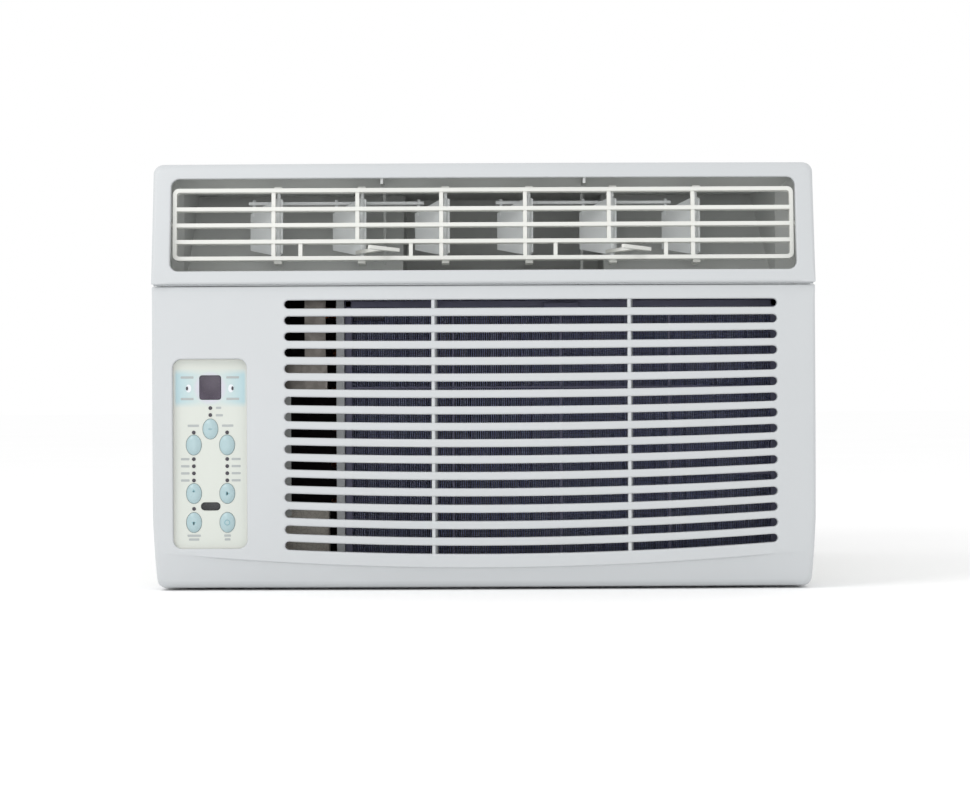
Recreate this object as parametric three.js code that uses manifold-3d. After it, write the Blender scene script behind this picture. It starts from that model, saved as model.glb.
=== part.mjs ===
// Window air conditioner, in millimetres. +Z is up, the room side faces -Y, and +X is to the
// right seen from the room. The origin is the bottom centre of the unit.
import * as THREE from "three";
import { mergeVertices } from "three/addons/utils/BufferGeometryUtils.js";
import Module from "manifold-3d";

const wasm = await Module();
wasm.setup();

// ---------------------------------------------------------------- driving dimensions
const WIDTH = 560; // front panel, side to side
const HEIGHT = 362; // feet to the top of the front panel
const DEPTH = 540; // front panel to rear guard
const FRONT = -DEPTH / 2;
const REAR = DEPTH / 2;
const GAP = 0.4; // assembly gap between touching pieces

// Front mouldings
const SKIN = 3;
const BULGE = 5; // how far the front falls back at its two sides
const PANEL_BOTTOM = 2;
const PANEL_REAR = -190;
const SEAM = 258; // height of the seam under the outlet
const SEAM_GAP = 1.8;
const DOOR_REAR = -228; // rear rim of the hinged inlet grille
const BEZEL_LEAN = Math.tan(THREE.MathUtils.degToRad(11.5));
const TOP_ROUND = 8;
const MOUTH = { half: 264.5, low: 270, high: 349, corner: 7 };
const SLOTS = { count: 16, low: 34.3, pitch: 13.83, height: 7, left: -168, right: 247.5, bow: 1.49e-4 };
const SLOT_RIBS = [-44, 121.3]; // upright ribs behind the slots
const WINDOW = { left: -262.5, right: -199.8, low: 36, high: 196, corner: 7.5 };
const HINGE = { y: -249, z: 16, pin: 3, arm: 5 }; // the grille's hinge line

// Tilting louver, drawn in its own frame: Z runs up it and +Y into the duct
const LOUVER = { y: -244, z: 310, tilt: 5, half: 263.3, reach: 29.1, bar: 3.3, deep: 9 };
const LOUVER_BARS = [-14.8, -0.7, 13.1];
const RIBS = { count: 6, pitch: 71.2 };
const VANE = { offset: 3.5, pivot: 12, angle: 41, link: 36, thick: 1.8, tall: 25, pin: 1.5, ear: 33 };
const LEVER = { low: -23.5, high: -20.5, reach: 31, half: 16, outerStop: 48.3, innerStop: 45.4 };
const LINK = { low: 23, high: 25.5 };
const LEVER_VANES = [1, 4]; // the middle vane of each group of three

// Cabinet, base and air path
const CABINET = { half: 270, top: 350, front: -204, rear: 262, sheet: 1.5, low: 8, round: 6 };
const PAN = { half: 268, front: -212, rear: 261, floor: 6, sheet: 1.5, flange: 26 };
const PAN_TOP = PAN.floor + PAN.sheet;
const SHAFT = { x: 45, z: 168, radius: 6 }; // line of the fan motor's double shaft
const DUCT = { half: 266.5, wall: 2.5, low: 266, high: 351, rear: -72, ceiling: 343, rise: -214 };
const CHUTE = { left: -70, right: 105, footY: -196, headY: -128 };
const SCROLL = { front: -160, rear: -66, wall: 3, start: 90, grow: 30, top: 262.8 };
const WHEEL = { radius: 82, inner: 66, front: -154, rear: -78, blades: 18 };
const BULKHEAD = { front: -56, rear: -54.5, high: 346 };
const EVAPORATOR = { left: -119.5, right: 250, low: 24, high: 250, front: -203, rear: -166 };
const CONDENSER = { left: -240, right: 235, low: 26, high: 336, front: 200, rear: 244 };
const FAN = { radius: 148, hub: 30, front: 132, rear: 168, blades: 5, pitch: 30 };
const SHROUD = { front: 128, plate: 174, radius: 153 };
const COMPRESSOR = { x: -185, y: 45, radius: 57, low: 34, high: 243 };
const FILTER = { left: -119, right: 252, low: 22, high: 246, front: -222, rear: -216 };

// Control panel
const PLATE = { x: -231.15, front: -257.6, rear: -255.1, half: 33, low: 34, high: 198, corner: 7 };
const BUTTONS = [
  ["button_mode", 0, 137],
  ["button_timer", -14.1, 123.5],
  ["button_sleep", 14.1, 123.5],
  ["button_up", -14.1, 82.5],
  ["button_fan_speed", 14.1, 82.5],
  ["button_down", -14.1, 58],
  ["button_power", 14.1, 58],
];
const BUTTON = { half: 6.4, tall: 8.5, proud: 2.2, flange: 1.2 };
const DISPLAY = { half: 8.9, low: 162, high: 182, corner: 2 };
const RECEIVER = { half: 7.9, low: 68.5, high: 74.7 };

// ---------------------------------------------------------------- solids
function solidOf(geometry) {
  const bare = geometry.clone();
  for (const name of Object.keys(bare.attributes)) if (name !== "position") bare.deleteAttribute(name);
  const merged = mergeVertices(bare, 1e-3);
  return new wasm.Manifold(
    new wasm.Mesh({
      numProp: 3,
      vertProperties: new Float32Array(merged.attributes.position.array),
      triVerts: new Uint32Array(merged.index.array),
    }),
  );
}

function geometryOf(solid) {
  const made = solid.getMesh();
  const points = new Float32Array(made.numVert * 3);
  for (let i = 0; i < made.numVert; i++) {
    const from = i * made.numProp;
    points.set(made.vertProperties.subarray(from, from + 3), i * 3);
  }
  const geometry = new THREE.BufferGeometry();
  geometry.setAttribute("position", new THREE.BufferAttribute(points, 3));
  geometry.setIndex(new THREE.BufferAttribute(new Uint32Array(made.triVerts), 1));
  geometry.computeVertexNormals();
  return geometry;
}

const join = (...parts) => geometryOf(parts.map(solidOf).reduce((a, b) => a.add(b)));
const common = (...parts) => geometryOf(parts.map(solidOf).reduce((a, b) => a.intersect(b)));
const cut = (body, ...tools) =>
  geometryOf(tools.map(solidOf).reduce((a, b) => a.subtract(b), solidOf(body)));

// ---------------------------------------------------------------- basic shapes, already in place
function block(x0, x1, y0, y1, z0, z1) {
  const made = new THREE.BoxGeometry(x1 - x0, y1 - y0, z1 - z0);
  return made.translate((x0 + x1) / 2, (y0 + y1) / 2, (z0 + z1) / 2);
}

const steps = (from, to, count) =>
  Array.from({ length: count + 1 }, (_, i) => from + ((to - from) * i) / count);
const TO_X = new THREE.Matrix4().set(0, 0, 1, 0, 1, 0, 0, 0, 0, 1, 0, 0, 0, 0, 0, 1);

// Sweeps a shape along X, Y or Z. Its own two axes become Y and Z, X and Z, or X and Y.
function sweep(axis, shape, from, to, curveSegments = 6) {
  const made = new THREE.ExtrudeGeometry(shape, { depth: to - from, bevelEnabled: false, curveSegments });
  if (axis === "x") return made.applyMatrix4(TO_X).translate(from, 0, 0);
  if (axis === "y") return made.rotateX(Math.PI / 2).translate(0, to, 0);
  return made.translate(0, 0, from);
}

const polygon = (points) => new THREE.Shape(points.map(([a, b]) => new THREE.Vector2(a, b)));

function roundedRectangle(a0, a1, b0, b1, radius) {
  const shape = new THREE.Shape();
  shape.absarc(a1 - radius, b0 + radius, radius, -Math.PI / 2, 0);
  shape.absarc(a1 - radius, b1 - radius, radius, 0, Math.PI / 2);
  shape.absarc(a0 + radius, b1 - radius, radius, Math.PI / 2, Math.PI);
  shape.absarc(a0 + radius, b0 + radius, radius, Math.PI, 1.5 * Math.PI);
  return shape;
}

function ellipse(a, b, halfA, halfB) {
  const shape = new THREE.Shape();
  shape.absellipse(a, b, halfA, halfB, 0, 2 * Math.PI);
  return shape;
}

function rod(axis, radius, from, to, at, sides = 12) {
  const made = new THREE.CylinderGeometry(radius, radius, to - from, sides);
  made.translate(0, (from + to) / 2, 0);
  if (axis === "x") return made.rotateZ(-Math.PI / 2).translate(0, at[0], at[1]);
  if (axis === "y") return made.translate(at[0], 0, at[1]);
  return made.rotateX(Math.PI / 2).translate(at[0], at[1], 0);
}

// A turned piece from [radius, distance along the axis] pairs, about Y or Z.
function turned(axis, profile, at, sides) {
  const points = profile.map(([radius, along]) => new THREE.Vector2(radius, along));
  const made = new THREE.LatheGeometry(points, sides);
  if (axis === "y") return made.translate(at[0], 0, at[1]);
  return made.rotateX(Math.PI / 2).translate(at[0], at[1], 0);
}

function ring(axis, outside, inside, from, to, at, sides) {
  const section = [[inside, from], [outside, from], [outside, to], [inside, to], [inside, from]];
  return turned(axis, section, at, sides);
}

// A tube along a smooth route. Its section has twice halfSides flat sides.
function pipe(points, radius, count, halfSides = 3) {
  const route = new THREE.CatmullRomCurve3(points.map((p) => new THREE.Vector3(...p)), false, "centripetal");
  const section = new THREE.Shape();
  section.absarc(0, 0, radius, 0, 2 * Math.PI);
  return new THREE.ExtrudeGeometry(section, { extrudePath: route, steps: count, curveSegments: halfSides });
}

// A slab between the surfaces y = front(x, z) and y = back(x, z).
function slab(xs, zs, front, back) {
  const rows = zs.length;
  const side = xs.length * rows;
  const points = [];
  for (const field of [front, back]) for (const x of xs) for (const z of zs) points.push(x, field(x, z), z);
  const faces = [];
  const quad = (a, b, c, d) => faces.push(a, b, c, a, c, d);
  for (let i = 0; i + 1 < xs.length; i++) {
    for (let j = 0; j + 1 < rows; j++) {
      const a = i * rows + j;
      quad(a, a + rows, a + rows + 1, a + 1);
      quad(side + a, side + a + 1, side + a + rows + 1, side + a + rows);
    }
    const low = i * rows;
    const high = low + rows - 1;
    quad(low, side + low, side + low + rows, low + rows);
    quad(high, high + rows, side + high + rows, side + high);
  }
  const last = (xs.length - 1) * rows;
  for (let j = 0; j + 1 < rows; j++) {
    quad(j, j + 1, side + j + 1, side + j);
    quad(last + j, side + last + j, side + last + j + 1, last + j + 1);
  }
  const made = new THREE.BufferGeometry();
  made.setAttribute("position", new THREE.Float32BufferAttribute(points, 3));
  made.setIndex(faces);
  return made;
}

// ---------------------------------------------------------------- scene graph
const unit = new THREE.Group();

function paint(color, roughness, metalness = 0) {
  return new THREE.MeshStandardMaterial({ color, roughness, metalness });
}

const MATERIALS = {
  panel: paint(0xdfe3e6, 0.45),
  louver: paint(0xe6e5dc, 0.45),
  vane: paint(0xdde3e6, 0.4),
  plate: paint(0xdfe5dc, 0.4),
  button: paint(0xbfdde2, 0.35),
  lens: paint(0x2b2833, 0.1),
  duct: paint(0xb9bcbc, 0.7),
  foam: paint(0xd9d6cf, 0.9),
  steel: paint(0xc9ccce, 0.4, 0.9),
  cabinet: paint(0xd3d5d3, 0.4, 0.2),
  fins: paint(0x8d99a8, 0.35, 0.9),
  copper: paint(0xb06a42, 0.3, 1),
  black: paint(0x202225, 0.5),
  fan: paint(0x3a3d42, 0.6),
  board: paint(0x2f6b45, 0.5),
  mesh: paint(0x55585c, 0.8),
  rubber: paint(0x1c1c1e, 0.9),
};

function add(name, material, geometry, parent = unit, position = [0, 0, 0]) {
  const mesh = new THREE.Mesh(geometry, MATERIALS[material].clone());
  mesh.name = name;
  mesh.position.set(...position);
  parent.add(mesh);
}

// ---------------------------------------------------------------- front surface
// How far the moulded front falls back from its foremost line, by height. The crease near the
// bottom turns the surface under, and the bezel stands a little proud above the seam.
const FALL = [
  [0, 17],
  [3, 12.5],
  [6, 9.3],
  [11, 7],
  [19, 5.5],
  [40, 4],
  [90, 2.6],
  [160, 2.4],
  [225, 3.4],
  [SEAM - 1, 4.6],
  [SEAM, 3],
  [SEAM + 3, 0.6],
  [SEAM + 6, 0],
];

function fallAt(z) {
  const [bezelFoot] = FALL.at(-1);
  if (z >= bezelFoot) {
    const over = Math.max(0, z - (HEIGHT - TOP_ROUND));
    const round = TOP_ROUND - Math.sqrt(Math.max(0, TOP_ROUND ** 2 - over ** 2));
    return (z - bezelFoot) * BEZEL_LEAN + round;
  }
  const upper = FALL.findIndex(([height]) => height >= z);
  if (upper <= 0) return FALL[0][1];
  const [z0, f0] = FALL[upper - 1];
  const [z1, f1] = FALL[upper];
  return f0 + ((f1 - f0) * (z - z0)) / (z1 - z0);
}

const frontAt = (x, z) => FRONT + BULGE * (x / (WIDTH / 2)) ** 2 + fallAt(z);

// Outline of the front seen from the room. Its sides draw in a little towards the bottom.
function frontOutline(inset) {
  const half = WIDTH / 2 - inset;
  const lowHalf = half - 3;
  const low = PANEL_BOTTOM + inset;
  const high = HEIGHT - inset;
  const topCorner = 8 - inset;
  const lowCorner = 10 - inset;
  const taperTop = 60;
  const shape = new THREE.Shape();
  shape.absarc(lowHalf - lowCorner, low + lowCorner, lowCorner, -Math.PI / 2, 0);
  shape.lineTo(half, taperTop);
  shape.absarc(half - topCorner, high - topCorner, topCorner, 0, Math.PI / 2);
  shape.absarc(-half + topCorner, high - topCorner, topCorner, Math.PI / 2, Math.PI);
  shape.lineTo(-half, taperTop);
  shape.absarc(-lowHalf + lowCorner, low + lowCorner, lowCorner, Math.PI, 1.5 * Math.PI);
  return shape;
}

// A moulding open at the rear, whose front follows the front surface up to a height.
function frontShell(high, heights, rear) {
  const xs = steps(-WIDTH / 2 - 1, WIDTH / 2 + 1, 4);
  const outline = (inset, top) =>
    common(
      sweep("y", frontOutline(inset), FRONT - 5, rear + 1, 3),
      block(-WIDTH, WIDTH, FRONT - 6, rear + 2, -5, top),
    );
  const outer = common(slab(xs, heights, frontAt, () => rear), outline(0, high));
  const inside = slab(xs, heights, (x, z) => frontAt(x, z) + SKIN, () => rear + 0.5);
  return cut(outer, common(inside, outline(SKIN, high - SKIN)));
}

// ---------------------------------------------------------------- front frame with the outlet bezel
// Arm that carries a hinge pin forward from the sill, seen from the side.
function hingeArm() {
  const shape = new THREE.Shape();
  shape.absarc(HINGE.y, HINGE.z, HINGE.arm, Math.PI / 2, 1.5 * Math.PI);
  shape.lineTo(-224, HINGE.z - HINGE.arm);
  shape.lineTo(-224, PANEL_BOTTOM + 1);
  shape.lineTo(-216, PANEL_BOTTOM + 1);
  shape.lineTo(-216, HINGE.z + HINGE.arm);
  return shape;
}

function hingeLug(side) {
  const span = (a, b) => [Math.min(side * a, side * b), Math.max(side * a, side * b)];
  const arm = sweep("x", hingeArm(), ...span(258, 268), 3);
  const pin = rod("x", HINGE.pin, ...span(260, 275.3), [HINGE.y, HINGE.z]);
  return join(arm, pin);
}

function buildFrontFrame() {
  const heights = [-1, 3, SEAM - 2, SEAM, SEAM + 3, SEAM + 6, 354, 357.5, 360, 361.5, 363];
  const shell = frontShell(HEIGHT + 5, heights, PANEL_REAR);
  const bezelLow = SEAM + SEAM_GAP / 2;
  const doorSpace = block(-WIDTH, WIDTH, FRONT - 10, DOOR_REAR + 0.6, -10, bezelLow);
  const insideWall = WIDTH / 2 - SKIN - 0.5;
  const shelf = common(
    block(-insideWall - 1, insideWall + 1, FRONT, -216, bezelLow, bezelLow + SKIN),
    slab(steps(-insideWall - 2, insideWall + 2, 4), [bezelLow - 1, SEAM + 3, SEAM + 6], frontAt, () => -200),
  );
  const { half, low, high, corner } = MOUTH;
  const mouth = sweep("y", roundedRectangle(-half, half, low, high, corner), FRONT - 10, -232, 4);
  const guides = [
    [FILTER.left - 7.4, FILTER.left - 0.4],
    [FILTER.right + 1.5, FILTER.right + 4],
  ].map(([from, to]) => block(from, to, -226, -215, 3, bezelLow + 1));
  return cut(join(cut(shell, doorSpace), shelf, hingeLug(-1), hingeLug(1), ...guides), mouth);
}
add("front_frame", "panel", buildFrontFrame());

// ---------------------------------------------------------------- hinged inlet grille
function roundEnd(x, z, radius, degrees) {
  const angle = THREE.MathUtils.degToRad(degrees);
  return [x + radius * Math.cos(angle), z + radius * Math.sin(angle)];
}

// A long slot with round ends. The lower slots bow further down in the middle.
function slotShape(index) {
  const fromTop = SLOTS.count - 1 - index;
  const centre = SLOTS.low + index * SLOTS.pitch;
  const bow = (SLOTS.bow * fromTop) / (SLOTS.count - 1);
  const line = (x) => centre + bow * x * x;
  const radius = SLOTS.height / 2;
  const x0 = SLOTS.left + radius;
  const x1 = SLOTS.right - radius;
  const along = steps(x0, x1, 3);
  return polygon([
    ...along.map((x) => [x, line(x) - radius]),
    ...[-45, 0, 45].map((turn) => roundEnd(x1, line(x1), radius, turn)),
    ...[...along].reverse().map((x) => [x, line(x) + radius]),
    ...[135, 180, 225].map((turn) => roundEnd(x0, line(x0), radius, turn)),
  ]);
}

// Upright rib behind the slots, its edge just behind the skin's outer face.
function slotRib(x) {
  const low = SLOTS.low - 6;
  const high = SLOTS.low + (SLOTS.count - 1) * SLOTS.pitch + 6;
  const plan = polygon([[x, FRONT], [x + 2.5, FRONT], [x + 5, -256], [x, -256]]);
  const levels = [19, 40, 90, 160, 225, SEAM - 1];
  const behindSkin = slab([x - 6, x + 10], levels, (u, z) => frontAt(u, z) + 1.2, () => -240);
  return common(sweep("z", plan, low, high), behindSkin);
}

function buildInletGrille() {
  const heights = [-1, 3, 6, 11, 19, 40, 90, 160, 225, SEAM - 1, SEAM + 2];
  const shell = frontShell(SEAM - SEAM_GAP / 2, heights, DOOR_REAR);
  const slots = Array.from({ length: SLOTS.count }, (_, i) => sweep("y", slotShape(i), FRONT - 5, -250));
  const { left, right, low, high, corner } = WINDOW;
  const window = sweep("y", roundedRectangle(left, right, low, high, corner), FRONT - 5, -250, 3);
  const topRelief = block(-WIDTH, WIDTH, -240, -200, SEAM - 10, SEAM + 5);
  const heel = block(-WIDTH, WIDTH, -232, -200, -5, HINGE.z);
  const armWays = [-263, 263].map((x) => block(x - 7, x + 7, -258, -200, -5, 6));
  const pinHoles = [-1, 1].map((side) => {
    const [from, to] = side > 0 ? [262, 275.8] : [-275.8, -262];
    return rod("x", HINGE.pin + GAP, from, to, [HINGE.y, HINGE.z]);
  });
  const ribs = SLOT_RIBS.map(slotRib);
  return join(cut(shell, ...slots, window, topRelief, heel, ...armWays, ...pinHoles), ...ribs);
}
add("inlet_grille", "panel", buildInletGrille());

// ---------------------------------------------------------------- air filter behind the grille
function buildAirFilter() {
  const { left, right, low, high, front, rear } = FILTER;
  const rim = 7;
  const frame = cut(
    block(left, right, front, rear, low, high),
    block(left + rim, right - rim, front - 1, rear + 1, low + rim, high - rim),
  );
  const middle = (front + rear) / 2;
  const screen = block(left + 4, right - 4, middle - 0.4, middle + 0.4, low + 4, high - 4);
  const tab = block(50, 86, front - 4, front + 1, high - 12, high - 8);
  const uprights = steps(left + 3, right - 3, 4).slice(1, -1);
  const bars = steps(low + 3, high - 3, 3).slice(1, -1);
  return join(
    frame,
    screen,
    tab,
    ...uprights.map((x) => block(x - 1.5, x + 1.5, front + 1, rear - 1, low + 3, high - 3)),
    ...bars.map((z) => block(left + 3, right - 3, front + 1, rear - 1, z - 1.5, z + 1.5)),
  );
}
add("air_filter", "mesh", buildAirFilter());

// ---------------------------------------------------------------- outlet duct behind the bezel
// It narrows behind the vanes: its back leans away from foot to head, save where the chute comes in.
function buildOutletDuct() {
  const { half, wall, low, high, rear, ceiling, rise } = DUCT;
  const { left, right, footY, headY } = CHUTE;
  const frontLine = (z) => FRONT + BULGE + SKIN + 1.2 + (z - SEAM - 6) * BEZEL_LEAN;
  const plan = (grow) =>
    polygon([
      [-half - grow, FRONT],
      [half + grow, FRONT],
      [half + grow, rise - 10],
      [half - 14 + grow, rise + 8],
      [half - 30 + grow, headY + 10],
      [-half + 14 - grow, headY + 10],
      [-half + 8 - grow, rise + 8],
      [-half - grow, rise - 10],
    ]);
  const side = (grow, foot, head) =>
    polygon([
      [frontLine(low - grow), low - grow],
      [foot + 1.3 * grow, low - grow],
      [head + 1.3 * grow, ceiling + grow],
      [rise + 4, ceiling + grow],
      [rise - 6, high + grow],
      [frontLine(high + grow), high + grow],
    ]);
  const wide = (grow) =>
    common(
      sweep("z", plan(grow), low - 5, high + 5),
      sweep("x", side(grow, footY, headY), -WIDTH / 2, WIDTH / 2),
    );
  const chute = (grow) => block(left - grow, right + grow, footY, rear + grow, low - grow, ceiling + grow);
  const mouth = block(-half, half, FRONT, frontLine(high) + 1, low, high);
  const throat = block(left, right, SCROLL.front + 4, SCROLL.rear - 8, low - wall - 1, low + 1);
  const pivots = [-1, 1].map((end) => {
    const from = Math.min(end * (half - 1), end * (half + wall + 1));
    return rod("x", 3 + GAP, from, from + wall + 2, [LOUVER.y, LOUVER.z]);
  });
  const strutY = -184;
  const backAt = (y) => low + ((ceiling - low) * (y - footY)) / (headY - footY);
  const struts = [-86, 86].flatMap((x) => [
    rod("z", 1.3, (x < left ? backAt(strutY) : low) - 1.5, ceiling + 1, [x, strutY], 6),
    block(x - 1.1, x + 1.1, -247, rise, 344.5, high + 1),
  ]);
  const shell = cut(join(wide(wall), chute(wall)), wide(0), chute(0), mouth, throat);
  return cut(join(shell, ...struts), ...pivots);
}
add("outlet_duct", "duct", buildOutletDuct());

// ---------------------------------------------------------------- tilting louver with its six vanes
const louver = new THREE.Group();
louver.position.set(0, LOUVER.y, LOUVER.z);
louver.rotation.x = -THREE.MathUtils.degToRad(LOUVER.tilt);
unit.add(louver);

const ribAt = (index) => (index - (RIBS.count - 1) / 2) * RIBS.pitch;
const pivotAt = (index) => ribAt(index) + VANE.offset;
const ribIndexes = Array.from({ length: RIBS.count }, (_, i) => i);

// Ear behind the top or bottom bar with the hole that a vane's pivot pin turns in.
function vaneEar(index, end) {
  const x = pivotAt(index);
  const rear = LOUVER.deep / 2;
  const low = Math.min(end * (VANE.ear - 3.5), end * VANE.ear);
  const tongue = block(x - 3.2, x + 3.2, rear - 3, VANE.pivot + 3.4, low, low + 3.5);
  return cut(tongue, rod("z", VANE.pin + GAP, low - 1, low + 5, [x, VANE.pivot], 8));
}

function buildLouverGrid() {
  const { half, reach, bar, deep } = LOUVER;
  const t = bar / 2;
  const d = deep / 2;
  const frame = cut(
    sweep("y", roundedRectangle(-half, half, -reach - t, reach + t, 5), -d, d, 3),
    sweep("y", roundedRectangle(-half + bar, half - bar, -reach + t, reach - t, 2.5), -d - 1, d + 1, 2),
  );
  const bars = LOUVER_BARS.map((z) => block(-half + 1, half - 1, -d, d, z - t, z + t));
  const ribs = ribIndexes.map((i) => block(ribAt(i) - t, ribAt(i) + t, -d + 1, d - 1, -reach, reach));
  // The lowest bay has no rib in front of a lever, which swings there between two stops.
  const bays = LEVER_VANES.map((i) =>
    block(ribAt(i) - 4, ribAt(i) + 4, -d - 1, d + 1, -reach + t, LOUVER_BARS[0] - t),
  );
  const stops = LEVER_VANES.flatMap((i) => {
    const outward = Math.sign(ribAt(i));
    return [ribAt(i) + outward * LEVER.outerStop, ribAt(i) - outward * LEVER.innerStop];
  }).map((x) => block(x - t, x + t, -d + 1, d - 1, -reach, LOUVER_BARS[0]));
  const ears = ribIndexes.flatMap((i) => [vaneEar(i, -1), vaneEar(i, 1)]);
  const pins = [-1, 1].map((end) => {
    const from = Math.min(end * (half - 1), end * (half + 5.5));
    return rod("x", 3, from, from + 6.5, [0, 0]);
  });
  return join(cut(join(frame, ...bars, ...ribs), ...bays), ...stops, ...ears, ...pins);
}
add("louver_grid", "louver", buildLouverGrid(), louver);

// A vane is tall at its pivot and short at the rear, where the link holds it.
function buildVane() {
  const { thick, tall, pin, ear, link } = VANE;
  const side = polygon([
    [-4.5, -tall + 2],
    [0, -tall],
    [8, -tall + 1.5],
    [link + 4, -16],
    [link + 4, 16],
    [8, tall - 1.5],
    [0, tall],
    [-4.5, tall - 2],
  ]);
  return join(
    sweep("x", side, -thick / 2, thick / 2),
    rod("z", pin, -ear + 0.5, ear - 0.5, [0, 0], 8),
    rod("z", 1.4, 13, LINK.high + 2, [0, link], 8),
  );
}

// Each vane stands in its own group on the louver, its rear turned to the left.
const vaneTurn = THREE.MathUtils.degToRad(VANE.angle);
const vaneStands = ribIndexes.map((i) => {
  const stand = new THREE.Group();
  stand.position.set(pivotAt(i), VANE.pivot, 0);
  stand.rotation.z = vaneTurn;
  louver.add(stand);
  return stand;
});
for (const i of ribIndexes) add(`vane_${i + 1}`, "vane", buildVane(), vaneStands[i]);

// Thumb lever: two prongs hold the vane's foot, and a broad paddle stands before the louver.
function buildLever() {
  const { low, high, reach, half } = LEVER;
  const plan = polygon([
    [-3.4, 5],
    [-3.4, -3],
    [-2.4, -reach + 6],
    [-half, -reach + 3],
    [-half, -reach],
    [half, -reach],
    [half, -reach + 3],
    [2.4, -reach + 6],
    [3.4, -3],
    [3.4, 5],
  ]);
  const slot = VANE.thick / 2 + GAP;
  return cut(
    sweep("z", plan, low, high),
    block(-slot, slot, -5, 6, low - 1, high + 1),
    rod("z", VANE.pin + GAP, low - 1, high + 1, [0, 0], 8),
  );
}
add("vane_lever_left", "louver", buildLever(), vaneStands[LEVER_VANES[0]]);
add("vane_lever_right", "louver", buildLever(), vaneStands[LEVER_VANES[1]]);

// A link joins the rear pins of three vanes, so that they turn together.
function buildLink() {
  const { low, high } = LINK;
  const bar = block(-RIBS.pitch - 4.5, RIBS.pitch + 4.5, -3.2, 3.2, low, high);
  return cut(bar, ...[-1, 0, 1].map((i) => rod("z", 1.4 + GAP, low - 1, high + 1, [i * RIBS.pitch, 0], 8)));
}

function linkPlace(middle) {
  const x = pivotAt(middle) - VANE.link * Math.sin(vaneTurn);
  return [x, VANE.pivot + VANE.link * Math.cos(vaneTurn), 0];
}
add("vane_link_left", "vane", buildLink(), louver, linkPlace(LEVER_VANES[0]));
add("vane_link_right", "vane", buildLink(), louver, linkPlace(LEVER_VANES[1]));

// ---------------------------------------------------------------- control panel
const panel = new THREE.Group();
panel.position.x = PLATE.x;
unit.add(panel);

function displayShape(grow) {
  const { half, low, high, corner } = DISPLAY;
  return roundedRectangle(-half - grow, half + grow, low - grow, high + grow, corner);
}

function receiverShape(grow) {
  const { half, low, high } = RECEIVER;
  const radius = (high - low) / 2 + grow - 0.01;
  return roundedRectangle(-half - grow, half + grow, low - grow, high + grow, radius);
}

function buildControlPlate() {
  const { front, rear, half, low, high, corner } = PLATE;
  const through = (shape, segments) => sweep("y", shape, front - 1, rear + 1, segments);
  return cut(
    sweep("y", roundedRectangle(-half, half, low, high, corner), front, rear, 3),
    through(displayShape(0.3), 2),
    through(receiverShape(0.3), 3),
    ...BUTTONS.map(([, x, z]) => through(ellipse(x, z, BUTTON.half + GAP, BUTTON.tall + GAP), 6)),
  );
}
add("control_plate", "plate", buildControlPlate(), panel);
add("display_lens", "lens", sweep("y", displayShape(0), PLATE.front - 0.5, PLATE.rear, 2), panel);
add("receiver_lens", "lens", sweep("y", receiverShape(0), PLATE.front - 0.5, PLATE.rear, 3), panel);

function buildButton() {
  const { half, tall, proud, flange } = BUTTON;
  const behindPlate = PLATE.rear - PLATE.front + GAP;
  const cap = sweep("y", ellipse(0, 0, half, tall), -proud, behindPlate + 0.2, 6);
  const foot = sweep("y", ellipse(0, 0, half + flange, tall + flange), behindPlate, behindPlate + 0.9, 6);
  return join(cap, foot);
}
for (const [name, x, z] of BUTTONS) add(name, "button", buildButton(), panel, [x, PLATE.front, z]);

// Tray behind the plate with the circuit board standing in it.
const HOUSING = { half: 33, low: 34, high: 198, front: PLATE.rear + GAP, rear: -214, wall: 2 };

function buildHousing() {
  const { half, low, high, front, rear, wall } = HOUSING;
  const flange = block(half - 1, half + 33.5, front + 19, front + 21, low + 28, low + 134);
  const box = cut(
    block(-half, half, front, rear, low, high),
    block(-half + wall, half - wall, front - 1, rear - wall, low + wall, high - wall),
  );
  return join(box, flange);
}
add("control_housing", "duct", buildHousing(), panel);

function buildBoard() {
  const front = -248;
  const back = front + 1.6;
  return join(
    block(-30, 30, front, back, 38, 194),
    block(-24, -4, back - 0.2, back + 18, 150, 184),
    block(4, 26, back - 0.2, back + 13, 160, 184),
    rod("y", 8, back - 0.2, back + 20, [14, 130]),
    block(-26, -10, back - 0.2, back + 11, 96, 128),
  );
}
add("control_board", "board", buildBoard(), panel);

// ---------------------------------------------------------------- base pan and cabinet
function buildBasePan() {
  const { half, front, rear, floor, sheet, flange } = PAN;
  const tray = cut(
    block(-half, half, front, rear, floor, flange),
    block(-half + sheet, half - sheet, front + sheet, rear - sheet, floor + sheet, flange + 1),
  );
  const runners = [-190, 190].map((x) => block(x - 14, x + 14, front + 30, rear - 20, 0, floor + 0.5));
  return join(tray, ...runners);
}
add("base_pan", "cabinet", buildBasePan());

// Hood profile: two sides and a top with rounded corners.
function hoodShape() {
  const { half, top, sheet, low, round } = CABINET;
  const inner = half - sheet;
  const shape = new THREE.Shape();
  shape.moveTo(-inner, low);
  shape.lineTo(-half, low);
  shape.absarc(-half + round, top - round, round, Math.PI, Math.PI / 2, true);
  shape.absarc(half - round, top - round, round, Math.PI / 2, 0, true);
  shape.lineTo(half, low);
  shape.lineTo(inner, low);
  shape.absarc(half - round, top - round, round - sheet, 0, Math.PI / 2);
  shape.absarc(-half + round, top - round, round - sheet, Math.PI / 2, Math.PI);
  return shape;
}

const GLAND = { y: -150, z: 44 };

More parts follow.
